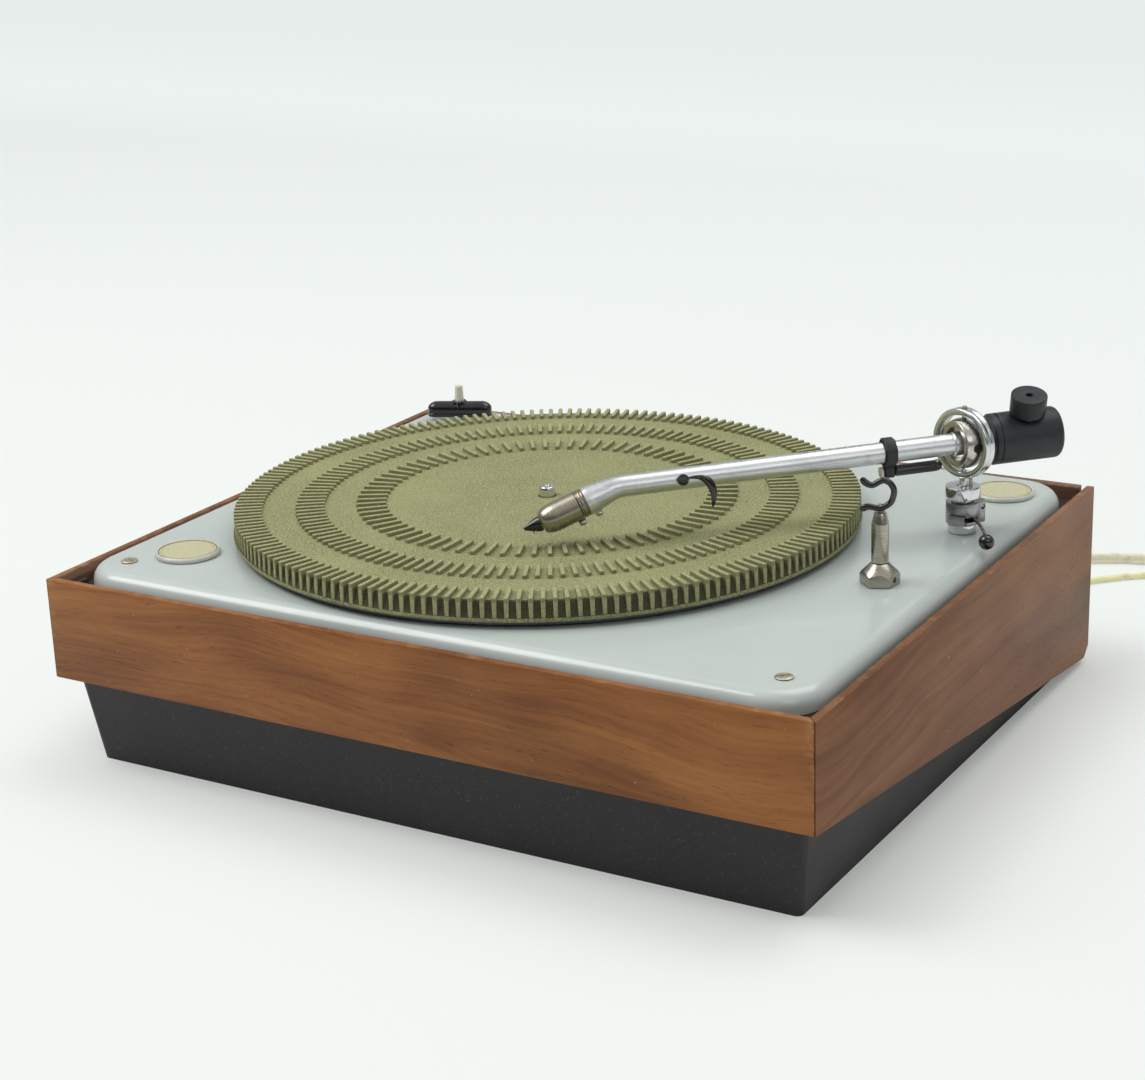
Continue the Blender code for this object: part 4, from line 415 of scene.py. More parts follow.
def addStudio(values):
    material, place, shader = newFinish("studio paper", {"Roughness": 0.9, "Specular IOR Level": 0.1})
    tint = mixed(between(noise(place, 1.3, 2.0), 0.2, 0.8), values["floor"], colour(242, 245, 243))
    tint.into(shader, "Base Color")
    # as the camera sees it, the paper turns to a plain glow away from the object, so that no wall shows; near
    # the object a smaller share of glow paints the floor's shadows paler
    x, y, z = (axisOf(place, number) for number in range(3))
    outX = (x.maths("ABSOLUTE") - values["halfX"]).maths("MAXIMUM", 0.0)
    outY = (y.maths("ABSOLUTE") - values["halfY"]).maths("MAXIMUM", 0.0)
    away = (outX * outX + outY * outY).maths("SQRT")
    # painted light: even next to the object a share of glow lightens the floor's shadows
    share = between(away, 0.0, 0.07, 0.16, 0.7).maths("MAXIMUM", between(y, 0.6, 1.8))
    paint = mixed(between(y, -0.8, 1.0), values["near"], values["far"])
    paint = mixed(between(y, 1.2, 2.6), paint, values["top"])
    glow = place.node("ShaderNodeEmission", None, {"Color": paint, "Strength": 1.0})
    seen = place.node("ShaderNodeLightPath")
    both = place.node(
        "ShaderNodeMixShader", None, {0: share * seen, 1: Field(place.tree, shader.outputs[0]), 2: glow},
    )
    place.tree.links.new(both.socket, place.tree.nodes["Material Output"].inputs["Surface"])
    rows = []
    depth, rise, reach, bend = 3.4, 3.6, 9.0, 1.2
    profile = [(-reach, 0.0), (depth - bend, 0.0)]
    for k in range(1, 13):
        turn = pi / 2 * k / 12
        profile.append((depth - bend + bend * sin(turn), bend * (1 - cos(turn))))
    profile.append((depth, rise))
    shape = bmesh.new()
    for y, z in profile:
        rows.append([shape.verts.new((x, y, z)) for x in (-reach, reach)])
    for low, high in zip(rows, rows[1:]):
        shape.faces.new((low[0], low[1], high[1], high[0]))
    paper = newObject("studio floor", shape)
    paper.data.materials.append(material)
    world = bpy.data.worlds.new("studio light")
    bpy.context.scene.world = world
    world.use_nodes = True
    background = world.node_tree.nodes["Background"]
    field = Field(world.node_tree, world.node_tree.nodes.new("ShaderNodeTexCoord").outputs["Generated"])
    height = axisOf(field, 2)
    towards = axisOf(field, 1)
    glow = mixed(between(height, -0.1, 0.75), colour(150, 154, 156), colour(255, 255, 255))
    glow = mixed(between(towards, -0.2, -0.9) * between(height, 0.75, 0.2), glow, colour(96, 98, 100))
    glow.into(background, "Color")
    background.inputs["Strength"].default_value = values["worldLevel"]
    for number, (spot, aim, size, watts) in enumerate(values["lamps"]):
        data = bpy.data.lights.new(f"softbox {number}", "AREA")
        data.energy = watts
        data.size = size
        lamp = linked(f"softbox {number}", data)
        lamp.location = spot
        lamp.rotation_euler = (Vector(aim) - Vector(spot)).to_track_quat("-Z", "Y").to_euler()


addStudio(studio)
print("studio lit")


# Finishes

hub = Vector((0.1643, 0.0629, 0.1384))
armHeading, armSlope, headAngle = radians(-138.3), radians(2.0), radians(19.6)
armTurn = (0, armSlope, armHeading)
headTurn = (0, armSlope + headAngle, armHeading)
platterPlace = Vector((-0.0212, -0.0018, 0))


def walnutFinish(name, alongY, tones, wearAndShade):
    # veneer with its grain along one axis, pale where the edges are worn, with painted shade along the inner
    # edge of each board's top
    material, place, shader = newFinish(name, {"IOR": 1.48, "Specular IOR Level": 0.3})
    x, y, z = (axisOf(place, number) for number in range(3))
    along, across = (y, x) if alongY else (x, y)
    flow = place.node("ShaderNodeCombineXYZ", None, {0: along * 3.2, 1: across * 7.0, 2: z * 8.0})
    swirl = noise(flow, 1.6, 2.0, 0.5)
    rise = z + (swirl - 0.5) * 0.055
    bands = place.node("ShaderNodeCombineXYZ", None, {0: along * 2.4, 1: across * 6.0, 2: rise * 80.0})
    fibres = place.node("ShaderNodeCombineXYZ", None, {0: along * 12.0, 1: across * 90.0, 2: rise * 520.0})
    figure, streak = noise(bands, 1.0, 5.0, 0.62), noise(fibres, 1.0, 3.0, 0.6)
    drift = noise(flow, 3.4, 3.0)
    tone = figure * 0.40 + streak * 0.24 + drift * 0.40
    paint = painted(tone, [(0.34, tones[0]), (0.47, tones[1]), (0.57, tones[2]), (0.71, tones[3])])
    poreGrid = place.node(
        "ShaderNodeCombineXYZ", None, {0: along * 130.0, 1: across * 1500.0, 2: rise * 1900.0},
    )
    pores = between(noise(poreGrid, 1.0, 2.0, 0.6), 0.60, 0.70)
    paint = mixed(pores * 0.3, paint, tones[4])
    blotch = between(noise(flow, 2.2, 2.0), 0.55, 0.72)
    paint = mixed(blotch * 0.42, paint, tones[4])
    rub = between(z, wearAndShade["top"] - wearAndShade["reach"], wearAndShade["top"])
    rub = rub * between(noise(place, 170.0, 3.0, 0.6), 0.45, 0.75)
    ends = (x.maths("ABSOLUTE") - wearAndShade["corner"]) / 0.0066
    chips = between(noise(place, 330.0, 3.0), 0.47, 0.57) * between(z, 0.050, 0.090, 0.3)
    chips = between(ends, 0.1, 0.9) * chips
    seam = between(ends, 0.90, 0.96) * between(noise(place, 90.0, 2.0), 0.30, 0.50)
    paint = mixed(seam * wearAndShade["seam"], paint, colour(34, 22, 15))
    # painted shade: the board's top darkened along its inner edge, beside the plate
    innerEdgeShade = between(across.maths("ABSOLUTE"), wearAndShade["inner"] + 0.0012, wearAndShade["inner"])
    paint = mixed(innerEdgeShade * 0.6, paint, tones[4])
    scuffs = between(noise(place, 420.0, 2.0), 0.755, 0.775)
    paint = mixed(scuffs * 0.7, paint, colour(200, 178, 150))
    paint = mixed((rub + chips * wearAndShade["seam"]) * wearAndShade["share"], paint, wearAndShade["paint"])
    rough = 0.40 + streak * 0.18 + pores * 0.15
    return coated(material, shader, paint, rough, raised(figure * 0.3 - pores + streak * 0.4, 0.00012, 0.55))


warmTones = (
    colour(95, 54, 25), colour(134, 81, 40), colour(157, 101, 52), colour(175, 118, 64), colour(62, 36, 19),
)
sideTones = (
    colour(81, 49, 28), colour(114, 72, 42), colour(136, 91, 58), colour(154, 111, 77), colour(54, 35, 23),
)
greyTones = (
    colour(84, 56, 41), colour(118, 83, 62), colour(140, 103, 79), colour(158, 120, 94), colour(56, 38, 28),
)
# wear on the boards' edges, and the key inner, where the painted shade along their inner edge begins
boardWearAndShade = {
    "top": 0.0922, "reach": 0.0009, "corner": 0.1872, "inner": 0.1605, "seam": 0.8, "share": 0.55,
    "paint": colour(176, 136, 88),
}
frontWood = walnutFinish("front walnut", False, warmTones, boardWearAndShade)
sideWood = walnutFinish("side walnut", True, sideTones, {**boardWearAndShade, "corner": 0.30, "inner": 0.1902})
backWood = walnutFinish("back walnut", False, greyTones, {**boardWearAndShade, "corner": 0.30})


def paintFinish(name, dark, light, rough, grain):
    # painted or lacquered board or metal: a slow drift, fine dust and a light orange peel
    material, place, shader = newFinish(name, {"IOR": 1.5})
    dust = between(noise(place, 900.0, 2.0, 0.7), 0.62, 0.72)
    paint = mixed(dust * 0.18, level(place, dark, light, 14.0), colour(150, 148, 142))
    rough = rough + noise(place, 40.0, 4.0) * 0.14 - 0.07
    return coated(material, shader, paint, rough, raised(noise(place, grain, 3.0, 0.6), 0.00006, 0.6))


blackPaint = paintFinish("black paint", colour(13, 13, 14), colour(21, 21, 21), 0.48, 1400.0)
blackBoard = paintFinish("dark block", colour(30, 29, 28), colour(42, 40, 38), 0.8, 1200.0)


def enamelFinish():
    material, place, shader = newFinish(
        "grey enamel", {"IOR": 1.5, "Coat Weight": 0.35, "Coat Roughness": 0.08},
    )
    cloud = level(place, colour(190, 199, 195), colour(198, 206, 202), 9.0)
    specks = between(noise(place, 700.0, 2.0, 0.7), 0.70, 0.76)
    paint = mixed(specks * 0.25, cloud, colour(140, 140, 132))
    rough = 0.17 + noise(place, 26.0, 4.0) * 0.10
    return coated(material, shader, paint, rough, raised(noise(place, 900.0, 2.0, 0.5), 0.00002, 0.25))


def matFinish(name, low, high, shadeZones=(), shade=0.0, grain=0.00009):
    # olive rubber, grainy, with patches of dust, painted shade on the low floor between the ribs, and painted
    # shade on the ribs' low sides
    material, place, shader = newFinish(name, {"IOR": 1.5, "Specular IOR Level": 0.35})
    speckle = noise(place, 1300.0, 3.0, 0.7)
    cloud = noise(place, 22.0, 3.0)
    paint = mixed(between(speckle, 0.40, 0.62), low, high)
    paint = mixed(between(cloud, 0.35, 0.75) * 0.35, paint, colour(168, 167, 120))
    grime = between(noise(place, 260.0, 3.0), 0.62, 0.74)
    paint = mixed(grime * 0.22, paint, colour(92, 88, 64))
    flat = stretched(inFrame(place, tuple(platterPlace)), (1.0, 1.0, 0.0))
    reach = flat.node("ShaderNodeVectorMath", {"operation": "LENGTH"}, {0: flat}, "Value")
    # painted shade: each zone's floor between the ribs darkened by its share
    for inner, outer, share in shadeZones:
        ring = between(reach, inner - 0.0004, inner + 0.0004) * between(reach, outer + 0.0004, outer - 0.0004)
        paint = mixed(ring * share, paint, colour(48, 48, 32))
    if shade:
        # painted shade on the ribs' sides, low down, and on all that lies behind their outer faces
        z = axisOf(place, 2)
        sides = between(z, 0.1072, 0.1078) * between(z, 0.1095, 0.1089)
        wall = between(reach, 0.1491, 0.1485) * between(z, 0.1078, 0.1070)
        paint = mixed(sides * shade, paint, colour(62, 62, 40))
        paint = mixed(wall * 0.7, paint, colour(48, 48, 32))
    rough = 0.66 + speckle * 0.2
    return coated(material, shader, paint, rough, raised(speckle, grain, 0.7))


def rubberFinish(name, dark, light, rough=0.75):
    material, place, shader = newFinish(name, {"IOR": 1.5, "Specular IOR Level": 0.4})
    grain = noise(place, 1500.0, 3.0, 0.7)
    paint = mixed(between(grain, 0.3, 0.75), dark, light)
    rough = rough + noise(place, 120.0, 3.0) * 0.16 - 0.08
    return coated(material, shader, paint, rough, raised(grain, 0.00006, 0.6))


def metalFinish(name, dark, light, rough, lines=None, location=(0, 0, 0), rotation=(0, 0, 0), stain=0.25):
    # bare or plated metal: fine machining lines in the piece's own frame, faint stains and pits
    material, place, shader = newFinish(name, {"Metallic": 1.0})
    own = inFrame(place, location, rotation)
    if lines:
        brushed = noise(stretched(own, lines), 1.0, 3.0, 0.65)
    else:
        brushed = noise(own, 900.0, 3.0, 0.6)
    cloud = noise(own, 110.0, 4.0, 0.6)
    paint = mixed(between(brushed, 0.25, 0.75), dark, light)
    paint = mixed(between(cloud, 0.52, 0.75) * stain, paint, colour(112, 104, 90))
    pits = between(noise(own, 1600.0, 2.0, 0.6), 0.68, 0.74)
    paint = mixed(pits * stain, paint, colour(70, 66, 60))
    rough = rough + brushed * 0.10 + cloud * 0.10 - 0.08
    return coated(material, shader, paint, rough, raised(brushed, 0.00003, 0.5))


def plasticFinish(name, dark, light, rough, grain=900.0, coat=0.0):
    material, place, shader = newFinish(name, {"IOR": 1.5, "Coat Weight": coat, "Coat Roughness": 0.05})
    paint = level(place, dark, light, 160.0)
    rough = rough + noise(place, 260.0, 3.0) * 0.12 - 0.05
    return coated(material, shader, paint, rough, raised(noise(place, grain, 2.0), 0.00003, 0.5))


def cordFinish(name, dark, light):
    material, place, shader = newFinish(name, {"IOR": 1.5, "Specular IOR Level": 0.45})
    grime = between(noise(place, 130.0, 4.0), 0.5, 0.75)
    paint = mixed(grime * 0.35, level(place, dark, light, 45.0), colour(150, 138, 100))
    rough = 0.42 + noise(place, 300.0, 3.0) * 0.2
    return coated(material, shader, paint, rough, raised(noise(place, 1100.0, 2.0), 0.00004, 0.4))


def woodFinish(name, dark, light, scale):
    # plain board: plywood, hardboard or chipboard
    material, place, shader = newFinish(name, {"IOR": 1.45})
    fibres = noise(stretched(place, scale), 1.0, 4.0, 0.65)
    paint = mixed(between(fibres, 0.3, 0.7), dark, light)
    rough = 0.68 + fibres * 0.2
    return coated(material, shader, paint, rough, raised(fibres, 0.00015, 0.6))


enamel = enamelFinish()
# painted shade between the rib rings: inner radius, outer radius, share of darkening
ribGapShade = ((0.0769, 0.0914, 0.10), (0.1062, 0.1202, 0.10), (0.1358, 0.1462, 0.12), (0.1462, 0.1497, 0.85))
matRubber = matFinish("olive mat", colour(112, 114, 76), colour(170, 170, 124), ribGapShade)
# ribs with painted shade on their low sides and behind their outer faces
ribRubber = matFinish(
    "olive mat ribs", colour(144, 144, 104), colour(174, 173, 130), shade=0.34, grain=0.00004,
)
blackRubber = rubberFinish("black rubber", colour(22, 22, 22), colour(40, 40, 39))
darkCasting = metalFinish(
    "platter casting", colour(70, 74, 78), colour(96, 100, 104), 0.34, (300.0, 300.0, 2600.0),
)
tubeLines = (40.0, 1500.0, 1500.0)
roundLines = (2600.0, 160.0, 160.0)
tubeAlloy = metalFinish(
    "arm tube", colour(206, 209, 211), colour(230, 232, 233), 0.34, tubeLines, tuple(hub), armTurn,
)
shellNickel = metalFinish(
    "shell nickel", colour(160, 153, 136), colour(174, 168, 151), 0.27, roundLines, tuple(hub), headTurn,
    0.25,
)
warmNickel = metalFinish(
    "rest nickel", colour(158, 154, 140), colour(184, 180, 166), 0.24, (160.0, 160.0, 2200.0), stain=0.5,
)
chrome = metalFinish("chrome", colour(206, 208, 210), colour(226, 228, 230), 0.09, stain=0.15)
satinAlloy = metalFinish(
    "satin alloy", colour(148, 149, 150), colour(176, 177, 178), 0.30, (200.0, 200.0, 2400.0), stain=0.3,
)
brushedRing = metalFinish(
    "brushed ring", colour(186, 183, 176), colour(214, 211, 204), 0.22, (900.0, 900.0, 900.0), stain=0.2,
)
polished = metalFinish(
    "polished alloy", colour(196, 198, 200), colour(218, 220, 222), 0.16, (200.0, 200.0, 2400.0), stain=0.2,
)
steel = metalFinish("steel", colour(150, 150, 148), colour(184, 184, 182), 0.3, stain=0.35)
brass = metalFinish("aged brass", colour(150, 142, 108), colour(190, 182, 146), 0.28, stain=0.5)
screwBrass = metalFinish("screw brass", colour(186, 180, 152), colour(216, 211, 188), 0.42, stain=0.3)
gold = metalFinish("thin gold", colour(176, 150, 82), colour(206, 180, 108), 0.25, stain=0.3)
blackGloss = plasticFinish("black gloss", colour(14, 14, 15), colour(22, 22, 24), 0.13, 500.0, 0.5)
blackSatin = plasticFinish("black satin", colour(24, 24, 25), colour(36, 36, 37), 0.38, 1300.0)
ivory = plasticFinish("ivory", colour(214, 208, 186), colour(226, 221, 202), 0.34)
creamPlug = plasticFinish("cream plug", colour(204, 190, 148), colour(218, 206, 168), 0.36)
creamCord = cordFinish("cream cord", colour(228, 223, 198), colour(238, 234, 212))
yellowCord = cordFinish("pale yellow cord", colour(236, 235, 180), colour(243, 242, 194))
darkBoard = woodFinish("dark board", colour(40, 29, 22), colour(66, 47, 35), (60.0, 60.0, 1400.0))
hardboard = woodFinish("hardboard", colour(86, 62, 42), colour(112, 84, 60), (700.0, 700.0, 700.0))
print("finishes mixed")


# Cords

mainsCord = {
    "thickness": 0.0062,
    "lobe": 0.00175,
    "glandX": 0.096,
    "startY": 0.1876,
    "startZ": 0.020,
    "coilCentre": (0.255, 0.350),
    "coilRadius": 0.0365,
    "pitch": 0.0067,
    "entry": radians(-90),
    "turns": 4.5,
    "winding": 1,
    "tail": 0.031,
    "plugAxis": 0.0072,
    "route": (
        (0.0963, 0.2060, 0.0165), (0.0980, 0.2190, 0.0085), (0.1020, 0.2330, 0.0042),
        (0.1085, 0.2480, 0.0034), (0.1170, 0.2640, 0.0034), (0.1265, 0.2810, 0.0034),
        (0.1370, 0.2960, 0.0034), (0.1492, 0.3059, 0.0034), (0.1625, 0.3125, 0.0034),
        (0.1765, 0.3165, 0.0034), (0.1920, 0.3180, 0.0034), (0.2080, 0.3165, 0.0034),
        (0.2250, 0.3125, 0.0034),
    ),
}
signalCord = {
    "thickness": 0.0038,
    "glandX": 0.122,
    "startY": 0.1706,
    "startZ": 0.020,
    "coilCentre": (0.262, 0.262),
    "coilRadius": 0.0228,
    "pitch": 0.0043,
    "entry": radians(90),
    "turns": 4.0,
    "winding": -1,
    "tail": 0.023,
    "plugAxis": 0.0068,
    "route": (
        (0.1222, 0.1830, 0.0175), (0.1235, 0.1930, 0.0115), (0.1255, 0.2040, 0.0056),
        (0.1285, 0.2160, 0.0029), (0.1330, 0.2290, 0.0021), (0.1395, 0.2430, 0.0021),
        (0.1485, 0.2590, 0.0021), (0.1599, 0.2737, 0.0021), (0.1710, 0.2850, 0.0021),
        (0.1829, 0.2940, 0.0021), (0.1950, 0.2990, 0.0021), (0.2080, 0.3005, 0.0021),
        (0.2210, 0.2990, 0.0021), (0.2340, 0.2955, 0.0021),
    ),
}
turnPoints = 44


def coilPath(values):
    # one unbroken winding in two layers: in along the floor, out again on top of it
    pitch, turns, winding = values["pitch"], values["turns"], values["winding"]
    outer = values["coilRadius"] + pitch * turns / 4
    floorLevel = values["route"][-1][2]
    centre = Vector((*values["coilCentre"], 0))
    total = ceil(turns * turnPoints)
    points = []
    for k in range(total + 1):
        done = turns * k / total
        reach = outer - pitch * min(done, turns - done)
        climb = min(1.0, max(0.0, (done - turns / 2) * 2 + 0.5))
        heading = values["entry"] + winding * 2 * pi * done
        points.append(centre + polar(reach, heading, floorLevel + pitch * climb))
    firstAlong = polar(1.0, values["entry"] + winding * pi / 2)
    lastAlong = polar(1.0, values["entry"] + winding * (2 * pi * turns + pi / 2))
    leaves = points[-1]
    for step in range(1, 9):
        share = step / 8
        ease = share**2 * (3 - 2 * share)
        fall = (values["plugAxis"] - leaves.z) * ease
        points.append(leaves + lastAlong * values["tail"] * share + Vector((0, 0, fall)))
    points.append(points[-1] + lastAlong * values["thickness"])
    return [points[0] - firstAlong * values["thickness"], *points], firstAlong, lastAlong


def cordPath(values):
    coil, firstAlong, lastAlong = coilPath(values)
    start = Vector((values["glandX"], values["startY"], values["startZ"]))
    finish = coil[0] - firstAlong * fitGap
    thick = values["thickness"]
    route = [start, start + Vector((0, thick, 0)), *[Vector(point) for point in values["route"]]]
    route += [finish - firstAlong * thick, finish]
    return smoothPath(route, thick * 0.8) + coil[1:], lastAlong


def twinSection(values):
    # two round cores side by side under one skin, with a groove between them
    lobe = values["lobe"]
    apart = values["thickness"] / 2 - lobe
    first = -atan2(apart, sqrt(lobe**2 - apart**2))
    points = []
    for side in (1, -1):
        for k in range(11):
            angle = first + (pi - 2 * first) * k / 11
            points.append((side * lobe * cos(angle), side * (apart + lobe * sin(angle))))
    return points


def addCord(name, values, section, material, nodes, slotName):
    path, along = cordPath(values)
    made = newObject(name, swept(path, section, up=(0, 0, 1)), sharp=50)
    settle(made, material, "base", nodes, slotName)
    return made, path, along


mainsSection = twinSection(mainsCord)
mainsPiece, mainsPath, mainsAlong = addCord(
    "mainsCord", mainsCord, lambda i: mainsSection, creamCord, ("mains_lead", "mains_coil"), "cream",
)
signalSection = circle(signalCord["thickness"] / 2, 20)
signalPiece, signalPath, signalAlong = addCord(
    "signalCord", signalCord, lambda i: signalSection, yellowCord, ("signal_lead", "signal_coil"),
    "pale_yellow",
)
print("cords laid:", round(lengthOf(mainsPath), 3), "m and", round(lengthOf(signalPath), 3), "m")

plugValues = {
    "length": 0.034,
    "halfWide": 0.0095,
    "halfTall": 0.007,
    "neck": 0.012,
    "pinRadius": 0.002,
    "pinLength": 0.016,
    "pinPitch": 0.0095,
}
jackValues = {"radius": 0.0066, "length": 0.024, "shell": 0.0056, "shellLength": 0.009, "neck": 0.0034}


def placeAfter(path, along):
    return Matrix.Translation(path[-1] + along * fitGap) @ Matrix.Rotation(atan2(along.y, along.x), 4, "Z")


def addPlug(values, path, along):
    place = placeAfter(path, along)
    rows = []
    neck = mainsCord["thickness"] / 2 + 0.0002
    for share, wide, tall in (
        (0.0, neck, neck * 0.95), (0.02, neck + 0.0004, neck + 0.0002), (0.10, neck * 1.12, neck * 1.1),
        (0.20, 0.0062, 0.0054), (0.30, 0.0084, 0.0066), (0.37, values["halfWide"], values["halfTall"]),
        (0.55, 0.0090, 0.0066), (0.80, 0.0090, 0.0066), (0.90, values["halfWide"], values["halfTall"]),
        (0.985, values["halfWide"], values["halfTall"]),
        (1.0, values["halfWide"] - 0.0006, values["halfTall"] - 0.0006),
    ):
        outline = roundedBox(wide, tall, min(wide, tall) * 0.72, 6)
        rows.append([Vector((values["length"] * share, y, z)) for y, z in outline])
    plug = newObject("mainsPlug", loft(rows), place, 45)
    settle(plug, creamPlug, "base", ("mains_plug",), "cream")
    pins = bmesh.new()
    for side in (-1, 1):
        profile = rounded(upright(values["pinRadius"], -0.001, values["pinLength"]), 0.0008)
        spot = Matrix.Translation((values["length"], side * values["pinPitch"] / 2, 0))
        pin = spun(profile, 20, matrix=spot @ alongX)
        mesh = bpy.data.meshes.new("pin")
        pin.to_mesh(mesh)
        pin.free()
        pins.from_mesh(mesh)
        bpy.data.meshes.remove(mesh)
    pair = settle(newObject("mainsPlugPins", pins, place), steel, "base")
    return plug, pair


def addJack(values, path, along):
    place = placeAfter(path, along)
    radius, length, shell = values["radius"], values["length"], values["length"] - values["shellLength"]
    profile = [
        (0, 0), (values["neck"], 0), (values["neck"], 0.003), (radius, 0.0075), (radius, shell), (0, shell),
    ]
    looks = (blackGloss, "base", ("signal_plug",), "black_gloss")
    sleeve = turned("signalPlug", profile, 0.0006, 40, place, looks, matrix=alongX)
    outer, inner = values["shell"], values["shell"] - 0.0006
    profile = [(inner, shell - 0.001), (outer, shell - 0.001), (outer, length), (inner, length)]
    looks = (chrome, "base")
    can = turned("signalPlugShell", profile, 0.0002, 40, place, looks, steps=2, closed=True, matrix=alongX)
    profile = upright(inner - 0.0001, shell - 0.001, length - 0.004)
    core = turned("signalPlugCore", profile, 0, 32, place, (blackSatin, "base"), matrix=alongX)
    return sleeve, can, core


plugPieces = addPlug(plugValues, mainsPath, mainsAlong)
jackPieces = addJack(jackValues, signalPath, signalAlong)
lengthOf(mainsPath)
lengthOf(signalPath)

glands = {
    "boardFace": 0.1653, "sink": 0.00625, "bootFlange": 0.0075, "bootTip": 0.0046, "bootLength": 0.022,
    "grommet": 0.0052,
}


def addGlands(values):
    tip, length = values["bootTip"], values["bootLength"]
    profile = [
        (0, -values["sink"]), (tip, -values["sink"]), (tip, 0), (values["bootFlange"], 0),
        (values["bootFlange"], 0.0016),
    ]
    base = tip * 1.5
    profile.append((base, 0.0016))
    for number in range(5):
        at = 0.0035 + number * 0.0036
        reach = base + (tip - base) * at / length
        profile += [
            (reach, at), (reach - 0.0006, at + 0.0005), (reach - 0.0006, at + 0.0013),
            (reach - 0.0002, at + 0.0018),
        ]
    profile += [(tip, length), (0, length)]
    place = Matrix.Translation((mainsCord["glandX"], values["boardFace"], mainsCord["startZ"]))
    looks = (blackRubber, "base", ("mains_boot",), "black_rubber")
    turned("mainsBoot", profile, 0.0004, 40, place, looks, steps=2, matrix=alongY)
    wide, thin = values["grommet"], values["grommet"] / 2
    profile = [
        (0, -values["sink"]), (thin, -values["sink"]), (thin, 0), (wide, 0), (wide, 0.0022), (thin, 0.005),
        (0, 0.005),
    ]
    place = Matrix.Translation((signalCord["glandX"], values["boardFace"], signalCord["startZ"]))
    looks = (blackRubber, "base", ("signal_grommet",), "black_rubber")
    turned("signalGrommet", profile, 0.0007, 40, place, looks, steps=4, matrix=alongY)


addGlands(glands)
print("plugs and glands fitted")


# Plinth boards

plinth = {
    "halfX": 0.194, "halfY": 0.165, "top": 0.092, "board": 0.00625, "frontBottom": 0.0435,
    "rearBottom": 0.0022, "backBottom": 0.004, "rearChamfer": 0.006, "softEdge": 0.0004, "innerBevel": 0.0026,
}


def addPlinth(values):
    halfX, halfY, board = values["halfX"], values["halfY"], values["board"]
    low, top = values["frontBottom"], values["top"]
    outline = [
        (fitGap - halfX, -halfY), (halfX - fitGap, -halfY), (halfX - fitGap - board, board - halfY),
        (board + fitGap - halfX, board - halfY),
    ]
    slope = values["innerBevel"]
    inside = board - slope
    narrow = [
        *outline[:2], (halfX - fitGap - inside, inside - halfY), (inside + fitGap - halfX, inside - halfY),
    ]
    rows = []
    for ring, z in ((outline, low), (outline, top - slope), (narrow, top)):
        rows.append([Vector((x, y, z)) for x, y in ring])
    front = carved("frontBoard", loft(rows), bevel=values["softEdge"])
    settle(front, frontWood, "base", ("front_board",), "walnut")

    def underEdge(y):
        return low + (values["rearBottom"] - low) * (y + halfY) / (2 * halfY)

    for side, name, node in ((-1, "leftBoard", "left_board"), (1, "rightBoard", "right_board")):
        rows = []
        for x, start, high in (
            (halfX, -halfY, top), (halfX - inside, inside - halfY, top),
            (halfX - board, board - halfY, top - slope),
        ):
            chamfer = values["rearChamfer"]
            profile = [
                (start, high), (start, underEdge(start)), (halfY - chamfer, underEdge(halfY - chamfer)),
                (halfY, underEdge(halfY) + chamfer), (halfY, high),
            ]
            rows.append([Vector((side * x, y, z)) for y, z in profile])
        piece = carved(name, loft(rows), bevel=values["softEdge"])
        settle(piece, sideWood, "base", (node,), "walnut")
    inner = halfX - board - fitGap
    holes = []
    for cord, radius in ((mainsCord, glands["bootTip"]), (signalCord, glands["grommet"] / 2)):
        spot = Matrix.Translation((cord["glandX"], 0, cord["startZ"])) @ alongY
        holes.append(drill(radius + fitGap, 0.15, 0.17, 32, spot))
    shape = block((-inner, halfY - board, values["backBottom"]), (inner, halfY, top))
    back = carved("backBoard", shape, holes, bevel=values["softEdge"])
    settle(back, backWood, "base", ("back_board",), "walnut")


addPlinth(plinth)
print("plinth boards cut")


# Top plate, screws and badges

plate = {
    "halfX": 0.18575, "halfY": 0.15675, "top": 0.0955, "corner": 0.024, "edge": 0.007, "skirt": 0.0095,
    "sheet": 0.0018, "cornerSteps": 16, "edgeSteps": 8,
}
plateScrew = {"x": 0.1675, "y": -0.1367, "radius": 0.0039, "height": 0.0007, "slot": 0.0009, "depth": 0.0006}
badge = {"radius": 0.015, "height": 0.0022, "rim": 0.0014, "places": ((-0.1489, -0.1169), (0.1614, 0.1243))}


def addTopPlate(values):
    def row(inset, height):
        corner = values["corner"] - inset
        outline = roundedBox(values["halfX"] - inset, values["halfY"] - inset, corner, values["cornerSteps"])
        return [Vector((x, y, height)) for x, y in outline]

    def side(inward):
        turn = values["edge"] - inward
        rows = [row(inward, values["top"] - values["skirt"])]
        for step in range(values["edgeSteps"] + 1):
            angle = pi / 2 * step / values["edgeSteps"]
            height = values["top"] - values["edge"] + turn * sin(angle)
            rows.append(row(inward + turn * (1 - cos(angle)), height))
        return rows

    outer, inner = side(0), side(values["sheet"])
    piece = newObject("topPlate", loft(outer[::-1] + inner))
    settle(piece, enamel, "base", ("top_plate",), "enamel")


def newTree(name, sockets):
    tree = bpy.data.node_groups.new(name, "GeometryNodeTree")
    for label, kind in sockets:
        tree.interface.new_socket(label, in_out="INPUT", socket_type="NodeSocket" + kind)
    tree.interface.new_socket("Geometry", in_out="OUTPUT", socket_type="NodeSocketGeometry")
    given = tree.nodes.new("NodeGroupInput")
    return tree, {label: Field(tree, given.outputs[label]) for label, kind in sockets}


